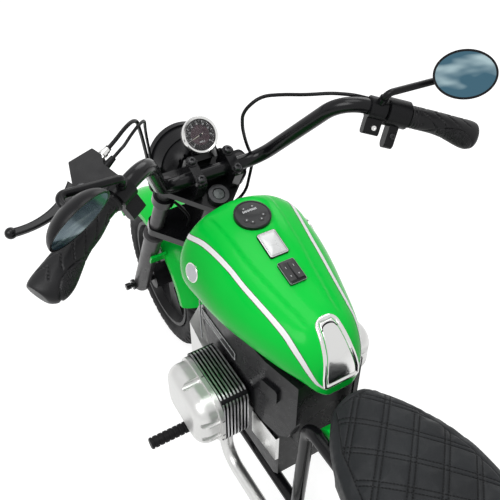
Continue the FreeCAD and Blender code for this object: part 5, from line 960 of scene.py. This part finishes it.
# quilted seat: the solid is remeshed, blown up as cloth, then sewn along a diagonal grid in pairs
seat = {"voxel": 0.006, "inset": 0.0016, "pressure": 4.0, "clothSteps": 20, "cap": 0.004, "baseLift": 0.0004,
        "pitch": 0.055, "phase": 0.165, "pair": 0.0047, "seamHalf": 0.0013, "seamDepth": 0.0011,
        "seamMost": 1.2, "puff": 0.0013, "puffReach": 0.008, "border": 0.013, "borderHalf": 0.0016,
        "borderDepth": 0.0014, "borderLevel": 0.3, "endExtra": 0.001, "panelFade": 0.0012,
        "levelFrom": 0.25, "levelOver": 0.3,
        "stations": [(-0.465, 0.056), (-0.427, 0.082), (-0.370, 0.094), (-0.293, 0.094), (-0.217, 0.074),
                     (-0.166, 0.046), (-0.147, 0.029)]}
leather = {"deep": (0.012, 0.013, 0.0145), "pale": (0.021, 0.023, 0.025), "thread": (0.002, 0.002, 0.0022),
           "stitch": 0.0042, "threadEdge": (0.0006, 0.0013), "dashEdge": (0.58, 0.68), "dashGap": 0.25,
           "borderEdge": (0.0003, 0.0010), "grain": 620.0, "grainHeight": 0.35, "seamHeight": 1.6,
           "bump": 0.00035, "seams": 20}


# distance to the nearest pair of seams of each diagonal family, in metres square to the seam
def seamShares(x, y):
    found = []
    for across in (x + y, x - y):
        share = (across + seat["phase"]) / seat["pitch"]
        middle = np.abs(share - np.round(share)) * seat["pitch"]
        found.append(np.abs(middle - seat["pair"]) / math.sqrt(2))
    return found


# the same seams in the leather's colour, broken into stitches, over a grained skin
def quiltedLeather(name):
    tree, shader = newFinish(name, (0.015, 0.016, 0.0175), 0.5, specular=0.16)

    def calc(how, first, second=0.0):
        return sums(tree, how, first, second)

    x, y, z = axisParts(tree)
    summed, differed = calc("ADD", x, y), calc("SUBTRACT", x, y)
    threads = []
    for first, second in ((summed, differed), (differed, summed)):
        share = calc("DIVIDE", calc("ADD", first, seat["phase"] + leather["seams"] * seat["pitch"]),
                     seat["pitch"])
        part = calc("ABSOLUTE", calc("SUBTRACT", calc("FRACT", calc("ADD", share, 0.5)), 0.5))
        off = calc("ABSOLUTE", calc("SUBTRACT", calc("MULTIPLY", part, seat["pitch"]), seat["pair"]))
        dash = calc("FRACT", calc("DIVIDE", calc("ADD", second, 3.0), leather["stitch"] * math.sqrt(2)))
        threads.append(calc("MULTIPLY", spread(tree, off, 1.0, 0.0, *leather["threadEdge"]),
                            spread(tree, dash, 1.0, leather["dashGap"], *leather["dashEdge"])))
    sewn = calc("MULTIPLY", calc("MAXIMUM", *threads), attribute(tree, "panel"))
    dark = calc("MAXIMUM", sewn, spread(tree, attribute(tree, "border"), 1.0, 0.0, *leather["borderEdge"]))
    tone = blendColour(tree, spread(tree, noise(tree, 14, 4), 0, 1), leather["deep"], leather["pale"])
    wire(shader, "Base Color", blendColour(tree, dark, tone, leather["thread"]))
    wire(shader, "Roughness", spread(tree, noise(tree, 120, 4), 0.40, 0.56))
    grain = spread(tree, cells(tree, leather["grain"]), 0, leather["grainHeight"], 0.0, 0.6)
    height = calc("SUBTRACT", grain, calc("MULTIPLY", dark, leather["seamHeight"]))
    bumpFrom(tree, shader, height, leather["bump"])


quiltedLeather("seatQuilt")
seatPad = newObject("seatPad", node["seat_cushion"].data.copy())
seatPad.data.materials.clear()
seatPad.data.materials.append(finishes["seatQuilt"])
remesh = seatPad.modifiers.new("remesh", "REMESH")
remesh.mode = "VOXEL"
remesh.voxel_size = seat["voxel"]
remesh.use_smooth_shade = True
evaluated(seatPad)
before = coordinates(seatPad.data) - normalsOf(seatPad.data) * seat["inset"]
moveTo(seatPad.data, before)
cloth = seatPad.modifiers.new("swell", "CLOTH")
cloth.settings.use_pressure = True
cloth.settings.uniform_pressure_force = seat["pressure"]
cloth.settings.effector_weights.gravity = 0
cloth.collision_settings.use_collision = False
bpy.context.scene.frame_start = 1
for step in range(1, seat["clothSteps"] + 1):
    bpy.context.scene.frame_set(step)
evaluated(seatPad)
bpy.context.scene.frame_set(1)
moved = coordinates(seatPad.data) - before
far = np.linalg.norm(moved, axis=1, keepdims=True)
swollen = before + moved * np.minimum(1, seat["cap"] / np.maximum(far, 1e-9))
seatLow, seatHigh = (np.array(corner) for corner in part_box("seat_cushion"))
swollen[:, 2] = np.maximum(swollen[:, 2], seatLow[2] + seat["baseLift"])
moveTo(seatPad.data, swollen)
finer = seatPad.modifiers.new("finer", "SUBSURF")
finer.levels = finer.render_levels = 2
evaluated(seatPad)

# seams, the puffed diamonds between them, and a groove along the border of the top
points, normals = coordinates(seatPad.data), normalsOf(seatPad.data)
halfWidth = np.interp(points[:, 0], *np.array(seat["stations"]).T)
fromEnds = np.minimum(seatHigh[0] - points[:, 0], points[:, 0] - seatLow[0])
inFromEdge = np.minimum(halfWidth - np.abs(points[:, 1]), fromEnds + seat["endExtra"])
levelShare = np.clip((normals[:, 2] - seat["levelFrom"]) / seat["levelOver"], 0, 1)
panel = levelShare * np.clip((inFromEdge - seat["border"]) / seat["panelFade"], 0, 1)
seamA, seamB = seamShares(points[:, 0], points[:, 1])
seams = softLine(seamA, seat["seamHalf"]) + softLine(seamB, seat["seamHalf"])
puffed = 1 - softLine(np.minimum(seamA, seamB), seat["puffReach"])
borderOff = np.abs(inFromEdge - seat["border"])
ring = levelShare * softLine(borderOff, seat["borderHalf"])
sewn = seat["puff"] * puffed - seat["seamDepth"] * np.minimum(seams, seat["seamMost"])
moveTo(seatPad.data, points + normals * (panel * sewn - seat["borderDepth"] * ring)[:, None])
storeValue(seatPad.data, "panel", panel)
storeValue(seatPad.data, "border", np.where(levelShare > seat["borderLevel"], borderOff, 1.0))
shadeSmooth(seatPad.data)
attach(seatPad, "frame")
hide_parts("seat_cushion")
print("seat sewn,", len(seatPad.data.polygons), "faces")


# floor, lamps and pale surroundings: camera, glossy and clear rays see a white room
studio = {"floorColour": (0.50, 0.50, 0.50), "floorGlow": 0.76, "surround": 0.40, "floorHalf": 7.0,
          "aim": (0, 0, 0.3),
          "lamps": [{"name": "keyLamp", "place": (-0.6, 1.6, 2.4), "size": 1.6, "power": 34},
                    {"name": "fillLamp", "place": (1.6, -1.6, 2.2), "size": 1.8, "power": 20},
                    {"name": "topLamp", "place": (0.1, 0.0, 2.8), "size": 1.4, "power": 16}]}
bpy.context.scene.view_settings.view_transform = "Standard"


# 1 for rays from the camera, from a glossy surface or through a clear one, 0 for the rest
def directRays(tree):
    seen = add(tree, "ShaderNodeLightPath").outputs
    return sums(tree, "MAXIMUM", sums(tree, "MAXIMUM", seen["Is Camera Ray"], seen["Is Glossy Ray"]),
                seen["Is Transmission Ray"])


floorMesh = bpy.data.meshes.new("studioFloor")
side = studio["floorHalf"]
floorMesh.from_pydata([(-side, -side, 0), (side, -side, 0), (side, side, 0), (-side, side, 0)], [],
                      [(0, 1, 2, 3)])
tree, shader = newFinish("studioFloor", studio["floorColour"], 0.9, specular=0.0)
shader.inputs["Emission Color"].default_value = (1, 1, 1, 1)
wire(shader, "Emission Strength", sums(tree, "MULTIPLY", directRays(tree), studio["floorGlow"]))
floorMesh.materials.append(finishes["studioFloor"])
newObject("studioFloor", floorMesh)

world = bpy.data.worlds.new("studioWorld")
bpy.context.scene.world = world
world.use_nodes = True
background = world.node_tree.nodes["Background"]
background.inputs["Color"].default_value = (1, 1, 1, 1)
rays = directRays(world.node_tree)
wire(background, "Strength", spread(world.node_tree, rays, studio["surround"], 1.0, 0.0, 1.0))

for given in studio["lamps"]:
    lampObject = newObject(given["name"], bpy.data.lights.new(given["name"], "AREA"))
    lampObject.data.shape = "DISK"
    lampObject.data.size = given["size"]
    lampObject.data.energy = given["power"]
    lampObject.location = given["place"]
    towards = Vector(studio["aim"]) - Vector(given["place"])
    lampObject.rotation_euler = towards.to_track_quat("-Z", "Y").to_euler()
print("studio ready")
